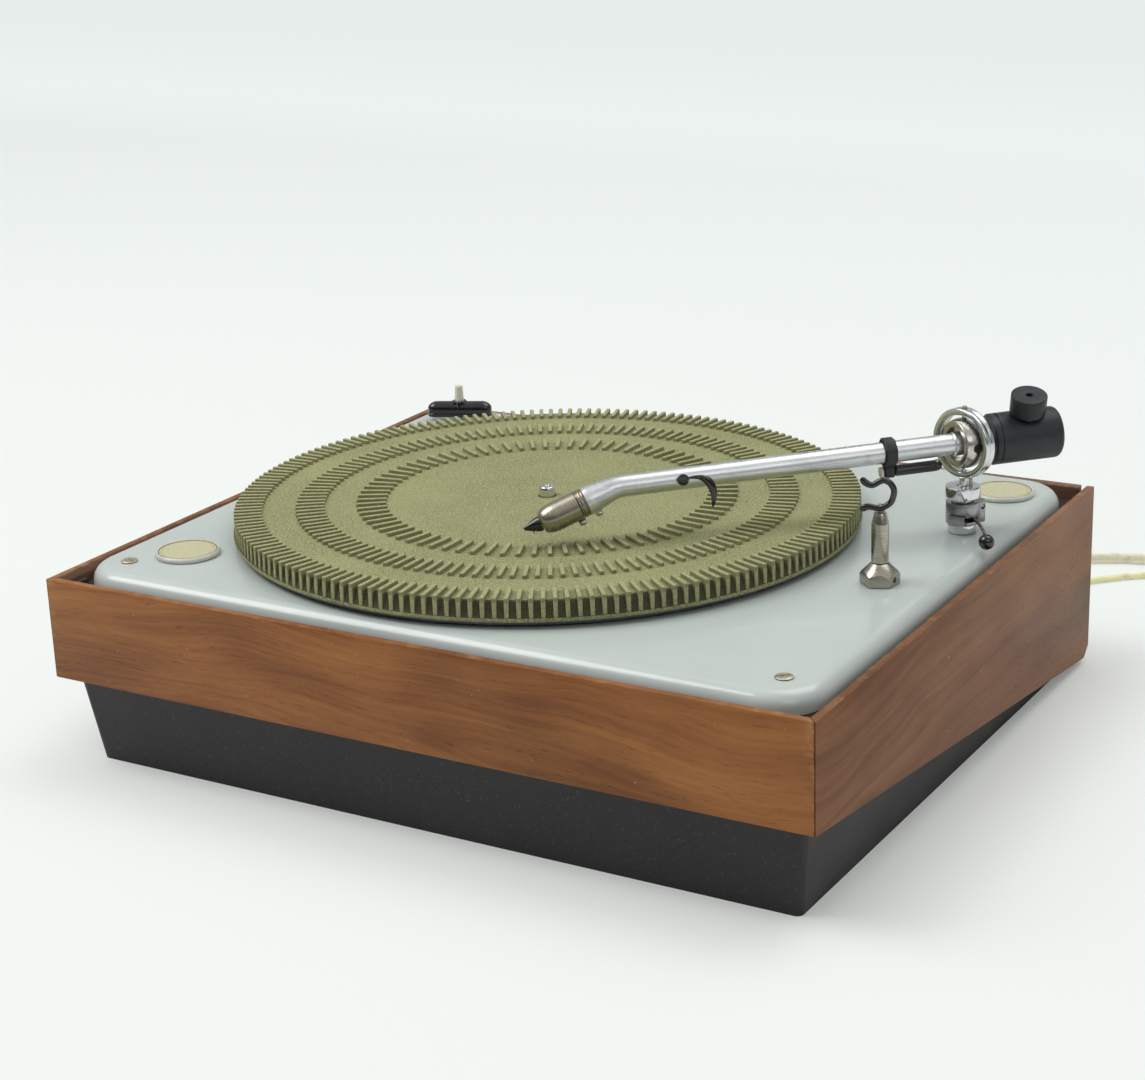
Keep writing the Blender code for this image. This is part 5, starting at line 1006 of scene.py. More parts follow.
def finishTree(at, spot, turn):
    points = spot.node("GeometryNodePoints", None, {"Count": at["Count"], "Position": spot})
    piece = points.node("GeometryNodeObjectInfo", None, {"Object": at["Piece"]}, "Geometry")
    rotation = points.node("FunctionNodeEulerToRotation", None, {0: turn})
    placed = points.node(
        "GeometryNodeInstanceOnPoints", None, {"Points": points, "Instance": piece, "Rotation": rotation},
    )
    plain = points.node("GeometryNodeRealizeInstances", None, {0: placed})
    done = points.node("GeometryNodeSetMaterial", None, {"Geometry": plain, "Material": at["Finish"]})
    spot.tree.links.new(done.socket, spot.tree.nodes.new("NodeGroupOutput").inputs[0])
    return spot.tree


def rowTree():
    # copies of one piece along a straight row, each turned a little further than the last
    tree, at = newTree("row of pieces", (
        ("Count", "Int"), ("Start", "Vector"), ("Step", "Vector"), ("First Turn", "Vector"),
        ("Turn Step", "Vector"), ("Piece", "Object"), ("Finish", "Material"),
    ))
    number = Field(tree).node("GeometryNodeInputIndex")

    def stepped(first, step):
        more = number.node("ShaderNodeVectorMath", {"operation": "SCALE"}, {0: at[step], "Scale": number})
        return number.node("ShaderNodeVectorMath", {"operation": "ADD"}, {0: at[first], 1: more})

    return finishTree(at, stepped("Start", "Step"), stepped("First Turn", "Turn Step"))


def ringTree():
    # copies of one piece round an upright axis, each facing outwards
    tree, at = newTree("ring of ribs", (
        ("Count", "Int"), ("Centre", "Vector"), ("Piece", "Object"), ("Finish", "Material"),
    ))
    number = Field(tree).node("GeometryNodeInputIndex")
    angle = number * (2 * pi) / at["Count"]
    return finishTree(at, at["Centre"], number.node("ShaderNodeCombineXYZ", None, {2: angle}))


def grow(name, tree, values):
    # runs a tree on an empty host and keeps the result as a plain mesh
    host = linked(name + " host", bpy.data.meshes.new(name + " host"))
    rule = host.modifiers.new("rule", "NODES")
    rule.node_group = tree
    for item in tree.interface.items_tree:
        if item.item_type == "SOCKET" and item.in_out == "INPUT":
            rule[item.identifier] = values[item.name]
    made = bake(host, name)
    bpy.data.objects.remove(values["Piece"], do_unlink=True)
    smoothed(made.data)
    return made


rowOfPieces, ringOfRibs = rowTree(), ringTree()


def slottedHead(name, radius, height, slot, depth, shank=0.0, length=0.0):
    # a low domed head with its top at zero, and a shank below it
    profile = [(0, -height - length)] if length else [(0, -height)]
    if length:
        profile += [(shank, -height - length), (shank, -height)]
    profile += [
        (radius, -height), (radius, -height * 0.55), (radius * 0.8, -height * 0.12), (radius * 0.4, 0),
        (0, 0),
    ]
    head = spun(rounded(profile, radius * 0.12), 40)
    cutter = block((-radius * 1.5, -slot / 2, -depth), (radius * 1.5, slot / 2, depth))
    return carved(name, head, [cutter], bevel=radius * 0.03, segments=1)


def addPlateScrews(values):
    head = slottedHead(
        "screw", values["radius"], values["height"], values["slot"], values["depth"], 0.0016, 0.0173,
    )
    top = plate["top"] + fitGap + values["height"]
    pair = grow("plateScrews", rowOfPieces, {
        "Count": 2, "Start": (-values["x"], values["y"], top), "Step": (2 * values["x"], 0.0, 0.0),
        "First Turn": (0.0, 0.0, radians(-22)), "Turn Step": (0.0, 0.0, radians(62)), "Piece": head,
        "Finish": screwBrass,
    })
    settle(pair, None, "base", ("left_plate_screw", "right_plate_screw"), "brass")


def badgeFinish(name, centre):
    # a bare ivory face with fine rings near its edge
    material, place, shader = newFinish(name, {"IOR": 1.5, "Coat Weight": 0.4, "Coat Roughness": 0.12})
    own = inFrame(place, (*centre, 0))
    flat = stretched(own, (1.0, 1.0, 0.0))
    reach = own.node("ShaderNodeVectorMath", {"operation": "LENGTH"}, {0: flat}, "Value")
    speckle = noise(own, 1500.0, 3.0, 0.7)
    paint = mixed(between(speckle, 0.35, 0.7), colour(192, 188, 146), colour(216, 212, 176))
    ring = between(reach, 0.01195, 0.0121) * between(reach, 0.0124, 0.01225)
    paint = mixed(ring * 0.8, paint, colour(150, 126, 66))
    fine = between((reach * 4200.0).maths("SINE"), 0.2, 1.0) * between(reach, 0.0116, 0.0112)
    paint = mixed(fine * 0.16, paint, colour(160, 146, 104))
    rough = 0.26 + speckle * 0.12
    return coated(material, shader, paint, rough, raised(speckle + fine * 0.6, 0.00003, 0.5))


def addBadges(values):
    low = plate["top"] + fitGap
    rim, radius, height = values["rim"], values["radius"], values["height"]
    rimPaint = plasticFinish("badge rim", colour(196, 198, 190), colour(212, 213, 205), 0.3)
    for number, (centre, node) in enumerate(zip(values["places"], ("front_badge", "rear_badge"))):
        place = Matrix.Translation((*centre, low))
        profile = [
            (0, 0), (radius, 0), (radius, height - 0.0008), (radius - 0.0008, height),
            (radius - rim + 0.0004, height), (radius - rim, height - 0.0004), (0, height - 0.0004),
        ]
        turned(f"badge{number + 1}", profile, 0.0003, 96, place, (rimPaint, "base", (node,), "ivory"))
        face, edge = radius - rim, height - 0.00038
        profile = [(0, edge), (face - 0.0003, edge), (face - 0.0003, edge + 0.00012), (0, edge + 0.0002)]
        facePaint = badgeFinish(f"badge face {number + 1}", centre)
        turned(f"badge{number + 1}Face", profile, 0, 96, place, (facePaint, "base"))
        profile = [
            (face - 0.0002, edge), (face + 0.0001, edge), (face + 0.0001, edge + 0.00035),
            (face - 0.0002, edge + 0.0003),
        ]
        turned(f"badge{number + 1}Ring", profile, 0, 96, place, (gold, "base"), closed=True)


addTopPlate(plate)
addPlateScrews(plateScrew)
addBadges(badge)
print("plate, screws and badges in place")


# Platter, mat and spindle

mat = {
    "radius": 0.150, "flangeLow": 0.0989, "flangeHigh": 0.1005, "surface": 0.1078, "thickness": 0.002,
    "wallRadius": 0.1462, "wall": 0.0017, "ribTop": 0.1096, "ribWidth": 0.00195, "mouldLines": (0.127, 0.099),
    "rings": ((180, 0.1358, 0.1493), (135, 0.1062, 0.1202), (80, 0.0769, 0.0914)),
}
platterShape = {"lip": 0.148, "lipThickness": 0.0016, "rim": 0.0032, "sheet": 0.0023, "hub": 0.014}
spindle = {"radius": 0.00375, "top": 0.1125, "bottom": 0.0563}


def addMat(values):
    surface, groove = values["surface"], 0.00014
    profile = [
        (0.0043, surface - values["thickness"]),
        (values["wallRadius"] - values["wall"], surface - values["thickness"]),
        (values["wallRadius"] - values["wall"], values["flangeLow"]), (values["radius"], values["flangeLow"]),
        (values["radius"], values["flangeHigh"]), (0.1491, values["flangeHigh"]),
        (values["wallRadius"], surface),
    ]
    for line in values["mouldLines"]:
        profile += [(line + 0.0006, surface), (line, surface - groove), (line - 0.0006, surface)]
    profile += [(0.0043, surface)]
    place = Matrix.Translation(platterPlace)
    looks = (matRubber, "platter", ("mat",), "mat_rubber")
    turned("mat", profile, 0.00025, 180, place, looks, steps=2, closed=True)
    for number, (count, inner, outer) in enumerate(values["rings"]):
        low = surface - 0.0003
        half = values["ribWidth"] / 2
        if number:
            outline = [(inner, low), (outer, low), (outer, values["ribTop"]), (inner, values["ribTop"])]
        else:
            foot = values["flangeHigh"] - 0.0002
            outline = [
                (inner, low), (values["wallRadius"] - 0.001, low), (outer - 0.0012, foot), (outer, foot),
                (outer, values["ribTop"]), (inner, values["ribTop"]),
            ]
        rows = [[Vector((x, side * half, z)) for x, z in outline] for side in (-1, 1)]
        rib = carved("rib", loft(rows), bevel=0.00022, segments=1)
        ribs = grow(f"matRibs{number + 1}", ringOfRibs, {
            "Count": count, "Centre": tuple(platterPlace), "Piece": rib, "Finish": ribRubber,
        })
        settle(ribs, None, "platter", (), "mat_rubber")


def addPlatter(values):
    under = mat["surface"] - mat["thickness"] - fitGap - values["sheet"]
    track = mat["wallRadius"] - mat["wall"] - fitGap - values["rim"]
    wall, bore = track + values["rim"], spindle["radius"] + fitGap
    lipTop = mat["flangeLow"] - fitGap
    lipLow = lipTop - values["lipThickness"]
    profile = [
        (bore, under - 0.0034), (values["hub"], under - 0.0034), (values["hub"] + 0.003, under),
        (track, under), (track, lipLow), (values["lip"], lipLow), (values["lip"], lipTop), (wall, lipTop),
        (wall, under + values["sheet"]), (bore, under + values["sheet"]),
    ]
    looks = (darkCasting, "platter", ("platter",), "black_paint")
    turned("platter", profile, 0.0004, 144, Matrix.Translation(platterPlace), looks, steps=2, closed=True)


def addSpindle(values):
    radius, top = values["radius"], values["top"]
    profile = [
        (0, values["bottom"]), (radius, values["bottom"]), (radius, top - 0.0013),
        (radius * 0.93, top - 0.0004), (radius * 0.82, top), (0.0012, top), (0.0009, top - 0.0008),
        (0, top - 0.0010),
    ]
    looks = (chrome, "platter", ("spindle",), "chrome")
    turned("spindle", profile, 0.0003, 48, Matrix.Translation(platterPlace), looks)


addMat(mat)
addPlatter(platterShape)
addSpindle(spindle)
print("platter and mat turned")


# Speed selector

selector = {
    "centre": (-0.1575, 0.1319), "heading": radians(23.4), "length": 0.0358, "width": 0.0088, "low": 0.0978,
    "top": 0.106, "round": 0.0040, "pinBase": 0.00255, "pinTip": 0.0021, "pinHeight": 0.009, "sunk": 0.004,
    "travel": 0.003, "shaft": 0.003, "shaftLow": 0.076, "shaftTop": 0.0985,
}


def addSelector(values):
    place = Matrix.Translation((*values["centre"], 0)) @ Matrix.Rotation(values["heading"], 4, "Z")
    halfLong, halfWide = values["length"] / 2, values["width"] / 2

    def row(inset, height):
        wide = halfWide - inset
        outline = roundedBox(halfLong - inset * 1.4, wide, wide - 0.0002, 10)
        return [Vector((x, y, height)) for x, y in outline]

    rows = [row(0.0004, values["low"]), row(0, values["low"] + 0.0004), row(0, values["low"] + 0.0019)]
    rows += [
        row(0.0003, values["low"] + 0.0021), row(0.0003, values["low"] + 0.0024),
        row(0.0001, values["low"] + 0.0026),
    ]
    for step in range(9):
        angle = pi / 2 * step / 8
        drawn = values["round"] * (1 - cos(angle))
        rows.append(row(drawn, values["top"] - values["round"] * (1 - sin(angle))))
    bore = values["pinBase"] + fitGap
    sunk = values["top"] - values["sunk"] - values["travel"] - fitGap
    hole = drill(bore, sunk, 0.12, 40)
    knob = carved("selectorKnob", loft(rows), [hole], place, bevel=0.0002)
    settle(knob, blackGloss, "selector", ("selector_knob",), "black_gloss")
    profile = upright(values["shaft"], values["shaftLow"], values["shaftTop"])
    turned("selectorShaft", profile, 0.0003, 32, place, (steel, "selector"))

    def flutes(radius, height):
        # a boss with eight shallow flutes, let into the bar around the pin
        turns = [2 * pi * k / 96 for k in range(96)]
        reach = [radius * (0.93 + 0.07 * cos(8 * turn)) for turn in turns]
        return [Vector((r * cos(turn), r * sin(turn), height)) for r, turn in zip(reach, turns)]

    rise = values["top"] + 0.0007
    boss = [
        flutes(0.0043, values["top"] - 0.0030), flutes(0.0043, rise - 0.0008), flutes(0.0040, rise - 0.0002),
        flutes(0.0036, rise),
    ]
    hole = drill(bore, 0.09, 0.12, 40)
    settle(carved("selectorBoss", loft(boss), [hole], place), blackGloss, "selector")
    low, high = values["top"] - values["sunk"], values["top"] + values["pinHeight"]
    profile = [
        (0, low), (values["pinBase"], low), (values["pinBase"], values["top"]), (values["pinTip"], high),
        (0, high),
    ]
    turned("selectorPin", profile, 0.0004, 40, place, (ivory, "selector_pin", ("selector_pin",), "ivory"))


addSelector(selector)
print("selector fitted")


# Arm pillar with its clamp and lever

pillar = {
    "baseRadius": 0.0065, "baseTop": 0.1000, "shank": 0.005, "shankLow": 0.084, "bore": 0.0028,
    "clampLow": 0.1003, "clampHeight": 0.010, "clampRadius": 0.00775, "lugHeading": radians(38),
    "lugReach": 0.0108, "lugWidth": 0.006, "neck": 0.0056, "disc": 0.0082, "discLow": 0.1125,
    "discTop": 0.118, "stem": 0.0017, "post": 0.0025, "postLow": 0.0825, "ringReach": 0.0165, "tip": 0.00105,
    "tipTop": 0.12775, "peg": 0.0009, "pegTop": 0.1215, "pegReach": 0.004, "pegHeading": radians(50),
    "windowHeading": radians(-86), "windowHalf": 0.0038, "windowLow": 0.1009, "windowTop": 0.1053,
    "screwStem": 0.0009, "screwHead": 0.0019,
}
lever = {
    "heading": radians(-20), "turn": radians(-28), "reach": 0.0305, "drop": 0.003, "rod": 0.0009,
    "eye": 0.0046, "eyeLow": 0.1022, "eyeHeight": 0.0018, "ball": 0.00365, "slotLow": 0.1019,
    "slotHigh": 0.1043, "fan": 0.012, "fanMargin": 0.27, "flatFrom": 0.86, "flatShare": 0.6,
}


def addPillar(values):
    place = Matrix.Translation((hub.x, hub.y, 0))
    bore, seat = values["bore"], plate["top"] + fitGap
    profile = [
        (bore, values["shankLow"]), (values["shank"], values["shankLow"]), (values["shank"], seat),
        (values["baseRadius"], seat), (values["baseRadius"], values["baseTop"]), (bore, values["baseTop"]),
    ]
    turned("armBase", profile, 0.0004, 64, place, (chrome, "base", ("arm_base",), "alloy"), closed=True)
    ringFoot = hub.z - values["ringReach"] - fitGap
    profile = [
        (0, values["postLow"]), (values["post"], values["postLow"]),
        (values["post"], values["discTop"] - 0.0003), (values["stem"], values["discTop"] + 0.0001),
        (values["stem"], ringFoot), (values["tip"], ringFoot), (values["tip"], values["tipTop"]),
        (0, values["tipTop"]),
    ]
    turned("armPost", profile, 0.0002, 40, place, (chrome, "base", ("arm_post",), "chrome"), steps=2)
    neckLow = values["clampLow"] + values["clampHeight"] + fitGap
    profile = [
        (bore, neckLow), (values["neck"], neckLow), (values["neck"], values["discLow"]),
        (values["disc"], values["discLow"]), (values["disc"], values["discTop"]), (bore, values["discTop"]),
    ]
    turned("discCollar", profile, 0.0006, 72, place, (chrome, "base", ("disc_collar",), "alloy"), closed=True)
    spot = place @ Matrix.Translation(polar(values["pegReach"], values["pegHeading"]))
    profile = upright(values["peg"], values["discTop"] - 0.001, values["pegTop"])
    turned("collarPost", profile, 0.0003, 24, spot, (ivory, "base"))


def addClamp(values):
    place = Matrix.Translation((hub.x, hub.y, 0)) @ Matrix.Rotation(values["lugHeading"], 4, "Z")
    low, high = values["clampLow"], values["clampLow"] + values["clampHeight"]
    half, radius = values["lugWidth"] / 2, values["clampRadius"]
    opening = atan2(half, sqrt(radius**2 - half**2))
    outline = [polar(radius, opening + (2 * pi - 2 * opening) * step / 60) for step in range(61)]
    outline = [(point.x, point.y) for point in outline]
    for step in range(13):
        end = polar(half, pi * step / 12 - pi / 2)
        outline.append((values["lugReach"] - half + end.x, end.y))
    cutters = [drill(values["bore"], low - 0.002, high + 0.002, 48)]
    cutters.append(block((0, -0.0004, low - 0.002), (values["lugReach"] + 0.002, 0.0004, high + 0.002)))
    eye = lever["eye"] + fitGap
    cutters.append(drill(eye, lever["slotLow"], lever["slotHigh"], 48))
    fan, margin = [(0.0, 0.0)], lever["fanMargin"]
    for step in range(13):
        sweep = radians(-55) - margin + (radians(55) + 2 * margin) * step / 12
        heading = sweep - values["lugHeading"]
        fan.append((lever["fan"] * cos(heading), lever["fan"] * sin(heading)))
    cutters.append(prism(fan, lever["slotLow"], lever["slotHigh"]))
    side = values["windowHalf"]
    window = block((0.001, -side, values["windowLow"]), (radius + 0.002, side, values["windowTop"]))
    window.transform(Matrix.Rotation(values["windowHeading"] - values["lugHeading"], 4, "Z"))
    cutters.append(window)
    screwSpot = Matrix.Translation((0.0090, 0, low + 0.0074))
    cutters.append(drill(0.0012, -0.006, 0.006, 24, screwSpot @ alongY))
    clamp = carved("clampBlock", prism(outline, low, high), cutters, place, bevel=0.00018)
    settle(clamp, satinAlloy, "base", ("clamp_block",), "alloy")
    sunk = -half + 0.0014
    stem, wide, top = values["screwStem"], values["screwHead"], half + 0.0017
    profile = [(0, sunk), (stem, sunk), (stem, half + fitGap), (wide, half + fitGap), (wide, top), (0, top)]
    head = spun(rounded(profile, 0.0003), 32, matrix=alongY)
    slot = block((-0.003, half + 0.0011, -0.0003), (0.003, half + 0.004, 0.0003))
    screw = carved("clampScrew", head, [slot], place @ screwSpot, bevel=0.0001, segments=1)
    settle(screw, steel, "base", ("clamp_screw",), "steel")


def addLever(values):
    place = Matrix.Translation((hub.x, hub.y, 0))
    low, middle = values["eyeLow"], values["eyeLow"] + values["eyeHeight"] / 2
    reach, heading, turn, drop = values["reach"], values["heading"], values["turn"], values["drop"]
    points = [
        polar(values["eye"] - values["rod"], heading, middle), polar(reach / 3, heading + turn / 3, middle),
        polar(reach * 2 / 3, heading + turn * 3 / 4, middle - drop / 3),
        polar(reach, heading + turn, middle - drop),
    ]
    path = smoothPath(points, 0.0012)
    thick = [values["rod"] * (1.15 - 0.35 * i / len(path)) for i in range(len(path))]
    rod = newObject("liftRod", swept(path, lambda i: circle(thick[i], 20)), place)
    settle(rod, warmNickel, "lift_lever")
    profile = [
        (0.0028, low), (values["eye"], low), (values["eye"], low + values["eyeHeight"]),
        (0.0028, low + values["eyeHeight"]),
    ]
    looks = (chrome, "lift_lever", ("lift_lever",), "chrome")
    turned("liftEye", profile, 0.0002, 48, place, looks, steps=2, closed=True)
    ball = bmesh.new()
    bmesh.ops.create_icosphere(ball, subdivisions=4, radius=values["ball"])
    towards = (path[-1] - path[-4]).normalized()
    for vertex in ball.verts:
        flat = vertex.co.normalized().dot(-towards)
        if flat > values["flatFrom"]:
            press = (flat - values["flatFrom"]) * values["flatShare"]
            vertex.co -= vertex.co.normalized() * values["ball"] * press
    settle(
        newObject("leverBall", ball, place @ Matrix.Translation(points[-1])), blackGloss, "lift_lever",
        ("lever_ball",), "black_gloss",
    )


addPillar(pillar)
addClamp(pillar)
addLever(lever)
print("pillar, clamp and lever assembled")


# Gimbal

gimbal = {
    "ringHeading": radians(70), "ring": 0.0165, "bore": 0.0133, "width": 0.0061, "groove": 0.0003,
    "grooveWidth": 0.0010, "inner": 0.01175, "innerBore": 0.00785, "innerWidth": 0.010,
    "innerOffset": radians(13), "pivot": 0.00105, "sidePin": 0.0013,
}


def addGimbal(values):
    half, groove, ring = values["width"] / 2, values["grooveWidth"] / 2, values["ring"]
    dip = values["groove"]
    profile = [
        (values["bore"], -half), (ring, -half), (ring, -groove - dip), (ring - dip, -groove),
        (ring - dip, groove), (ring, groove + dip), (ring, half), (values["bore"], half),
    ]
    place = Matrix.Translation(hub) @ Matrix.Rotation(values["ringHeading"], 4, "Z")
    shape = spun(rounded(profile, 0.0011, 5, True), 112, True, alongX)
    hole = drill(values["pivot"] + fitGap, -0.02, 0.02, 24)
    settle(carved("gimbalRing", shape, [hole], place), chrome, "base", ("gimbal_ring",), "chrome")
    tip = slottedHead("topPivotHead", 0.0012, 0.0014, 0.0004, 0.0005, values["pivot"], 0.0058)
    tip.data.transform(Matrix.Translation(hub + Vector((0, 0, ring + 0.0011))))
    settle(tip, steel, "base", ("top_pivot",), "steel")
    profile = [(values["innerBore"], -values["innerWidth"] / 2)]
    reach, steps = values["inner"], 14
    for step in range(steps + 1):
        along = values["innerWidth"] * (step / steps - 0.5)
        profile.append((sqrt(reach**2 - along**2), along))
    profile.append((values["innerBore"], values["innerWidth"] / 2))
    place = Matrix.Translation(hub) @ Matrix.Rotation(armHeading + values["innerOffset"], 4, "Z")
    cup = reach - 0.0014
    bores = []
    tight, past = values["pivot"] + fitGap, 0.014
    for radius, low, high, turn in (
        (tight, cup, past, Matrix()), (tight, -past, -cup, Matrix()), (0.0016, -past, past, alongY),
        (0.0023, reach - 0.0006, past, alongY), (0.0023, -past, 0.0006 - reach, alongY),
    ):
        bores.append(drill(radius, low, high, 32, turn))
    shape = spun(rounded(profile, 0.0003, 3, True), 96, True, alongX)
    inner = carved("innerRing", shape, bores, place)
    settle(inner, brushedRing, "arm_yoke", ("inner_ring",), "alloy")
    for number, side in enumerate((-1, 1)):
        profile = [(0, 0), (0.0021, 0), (0.0021, 0.0007), (0.0012, 0.0009), (0.0010, 0.0004), (0, 0.0004)]
        outwards = alongY if side > 0 else Matrix.Rotation(pi / 2, 4, "X")
        turn = Matrix.Translation((0, side * (reach - 0.0007), 0)) @ outwards
        looks = (blackSatin, "arm_yoke")
        turned(f"sidePivotCap{number + 1}", profile, 0.00015, 32, place, looks, matrix=turn)


addGimbal(gimbal)
print("gimbal assembled")


# Arm

arm = {
    "radius": 0.005, "rear": 0.0075, "shaft": 0.0032, "shaftEnd": 0.0402, "sleeve": 0.0056,
    "sleeveWidth": 0.011, "straight": 0.16004, "bend": headAngle, "bendRadius": 0.022, "flare": 0.00964,
    "wide": 0.00665, "collar": 0.002,
}
armPlace = Matrix.Translation(hub) @ Euler(armTurn).to_matrix().to_4x4()


def bendPoint(angle):
    return Vector((arm["straight"] + arm["bendRadius"] * sin(angle), 0, arm["bendRadius"] * (cos(angle) - 1)))


def alongAndDown(length, angle):
    return Vector((length * cos(angle), 0, -length * sin(angle)))


flareEnd = bendPoint(arm["bend"]) + alongAndDown(arm["flare"], arm["bend"])
headStart = flareEnd + alongAndDown(arm["collar"], headAngle)
headPlace = armPlace @ Matrix.Translation(headStart) @ Matrix.Rotation(headAngle, 4, "Y")


def addTube(values):
    half, radius = values["sleeveWidth"] / 2, values["radius"]
    stations = [
        (-values["shaftEnd"], 0), (-values["shaftEnd"], values["shaft"] - 0.0003),
        (0.0003 - values["shaftEnd"], values["shaft"]), (-values["rear"] - fitGap, values["shaft"]),
        (-values["rear"], radius - 0.0002), (-values["rear"] + 0.0002, radius), (-half - fitGap, radius),
        (-half, values["sleeve"]), (half - 0.0003, values["sleeve"]), (half, values["sleeve"] - 0.0003),
        (half + fitGap, radius), (0.03, radius), (0.09, radius), (values["straight"] - 0.004, radius),
    ]
    path = [Vector((x, 0, 0)) for x, r in stations]
    radii = [r for x, r in stations]
    for step in range(17):
        share = step / 16
        path.append(bendPoint(values["bend"] * share))
        radii.append(radius + (values["wide"] - radius) * 0.30 * share**2)
    start, low = bendPoint(values["bend"]), radii[-1]
    for step in range(1, 11):
        share = step / 10
        path.append(start + alongAndDown(values["flare"] * share, values["bend"]))
        radii.append(low + (values["wide"] - low) * (share * 0.85 + 0.15 * share**2 * (3 - 2 * share)))
    path += [headStart - alongAndDown(0.0002, headAngle), headStart]
    radii += [values["wide"], values["wide"] - 0.0002]
    shape = swept(path[1:], lambda i: circle(radii[i + 1], 56), up=(0, 1, 0))
    settle(newObject("armTube", shape, armPlace, 30), tubeAlloy, "arm", ("arm_tube",), "alloy")
    reach = gimbal["inner"] - 0.0010
    turn = armPlace @ Matrix.Rotation(-armSlope, 4, "Y") @ Matrix.Rotation(gimbal["innerOffset"], 4, "Z")
    profile = upright(gimbal["sidePin"], -reach, reach)
    turned("sidePins", profile, 0.0002, 24, turn, (steel, "arm"), matrix=alongY)
    # scale marks along the tube's top
    rows = []
    turns = [radians(4 * k - 34) for k in range(12)]
    for x in (-0.00012, 0.00012):
        row = [Vector((x, radius * sin(turn), radius * cos(turn))) for turn in turns]
        outer = [Vector((x, p.y * 1.006, p.z * 1.006)) for p in row]
        rows.append(outer + [Vector((x, p.y * 0.994, p.z * 0.994)) for p in reversed(row)])
    mark = newObject("mark", loft(rows))
    marks = grow("tubeScale", rowOfPieces, {
        "Count": 8, "Start": (0.0495, 0.0, 0.0), "Step": (0.0036, 0.0, 0.0), "First Turn": (0.0, 0.0, 0.0),
        "Turn Step": (0.0, 0.0, 0.0), "Piece": mark, "Finish": blackSatin,
    })
    marks.data.transform(armPlace)
    settle(marks, None, "arm")


head = {
    "ringLength": 0.003, "ringGroove": 0.0005, "shellLength": 0.0182, "shellRound": 0.0075,
    "shellNose": 0.0039, "noseLength": 0.008, "noseRadius": 0.0036, "noseRise": 0.0009, "stylusAt": 0.0045,
    "screwRadius": 0.0020, "screwHeight": 0.0027, "frontScrew": 0.0048, "rearScrew": -0.0037,
    "rearSeat": 0.0061,
}


def addHead(values):
    wide = arm["wide"]
    start, end = fitGap, fitGap + values["ringLength"]
    groove = values["ringGroove"]
    profile = [(0, start), (wide, start)]
    for share in (0.25, 0.75):
        middle = start + values["ringLength"] * share
        profile += [
            (wide, middle - groove * 0.7), (wide - groove, middle - groove * 0.4),
            (wide - groove, middle + groove * 0.4), (wide, middle + groove * 0.7),
        ]
    profile += [(wide, end), (0, end)]
    looks = (shellNickel, "arm", ("lock_ring",), "steel")
    turned("lockRing", profile, 0.00012, 72, headPlace, looks, steps=2, matrix=alongX)
    begin = end + fitGap
    straight = begin + values["shellLength"] - values["shellRound"]
    profile = [(0, begin), (wide - 0.0002, begin), (wide, begin + 0.0002), (wide, straight)]
    for step in range(1, 15):
        angle = pi / 2 * step / 14
        profile.append((
            values["shellNose"] + (wide - values["shellNose"]) * cos(angle),
            straight + values["shellRound"] * sin(angle),
        ))
    front = begin + values["shellLength"]
    profile.append((0, front))
    looks = (shellNickel, "arm", ("headshell",), "chrome")
    turned("headshell", profile, 0, 72, headPlace, looks, matrix=alongX)
    begin = front + fitGap
    rows = []
    for share, girth, lift in (
        (0, 0.97, 0), (0.02, 1.0, 0), (0.22, 1.0, 0), (0.5, 0.74, 0.32), (0.8, 0.42, 0.72), (0.97, 0.24, 1.0),
        (1.0, 0.16, 1.02),
    ):
        radius = values["noseRadius"] * girth
        row = []
        for k in range(48):
            angle = 2 * pi * k / 48
            across, up = radius * cos(angle), radius * sin(angle)
            across *= 1 - 0.25 * share
            up = max(up, -radius * (0.80 - 0.10 * min(1, share * 3)))
            row.append(Vector((begin + values["noseLength"] * share, across, values["noseRise"] * lift + up)))
        rows.append(row)
    nose = newObject("nose", loft(rows), headPlace, 28)
    settle(nose, blackGloss, "arm", ("nose",), "black_gloss")
    profile = [(0, -0.0008), (0.0004, -0.0008), (0.0004, -0.0021), (0.00014, -0.0031), (0, -0.0032)]
    place = headPlace @ Matrix.Translation((begin + values["stylusAt"], 0, 0))
    turned("stylus", profile, 0, 20, place, (steel, "arm", ("stylus",), "steel"))
    for name, node, at, seat in (
        ("frontJointScrew", "front_joint_screw", values["frontScrew"], wide),
        ("rearJointScrew", "rear_joint_screw", values["rearScrew"], values["rearSeat"]),
    ):
        screw = slottedHead("head", values["screwRadius"], values["screwHeight"], 0.0006, 0.0006)
        screw.name = name
        spot = Matrix.Translation((at, 0, -seat - fitGap - values["screwHeight"]))
        screw.data.transform(headPlace @ spot @ Matrix.Rotation(pi, 4, "X"))
        settle(screw, chrome, "arm", (node,), "steel")


fingerLift = {
    "place": 0.1344, "rise": 0.0012, "disc": 0.0027, "run": 0.0105, "fall": 0.0135, "out": 0.003,
    "width": 0.0038, "sheet": 0.0008,
}


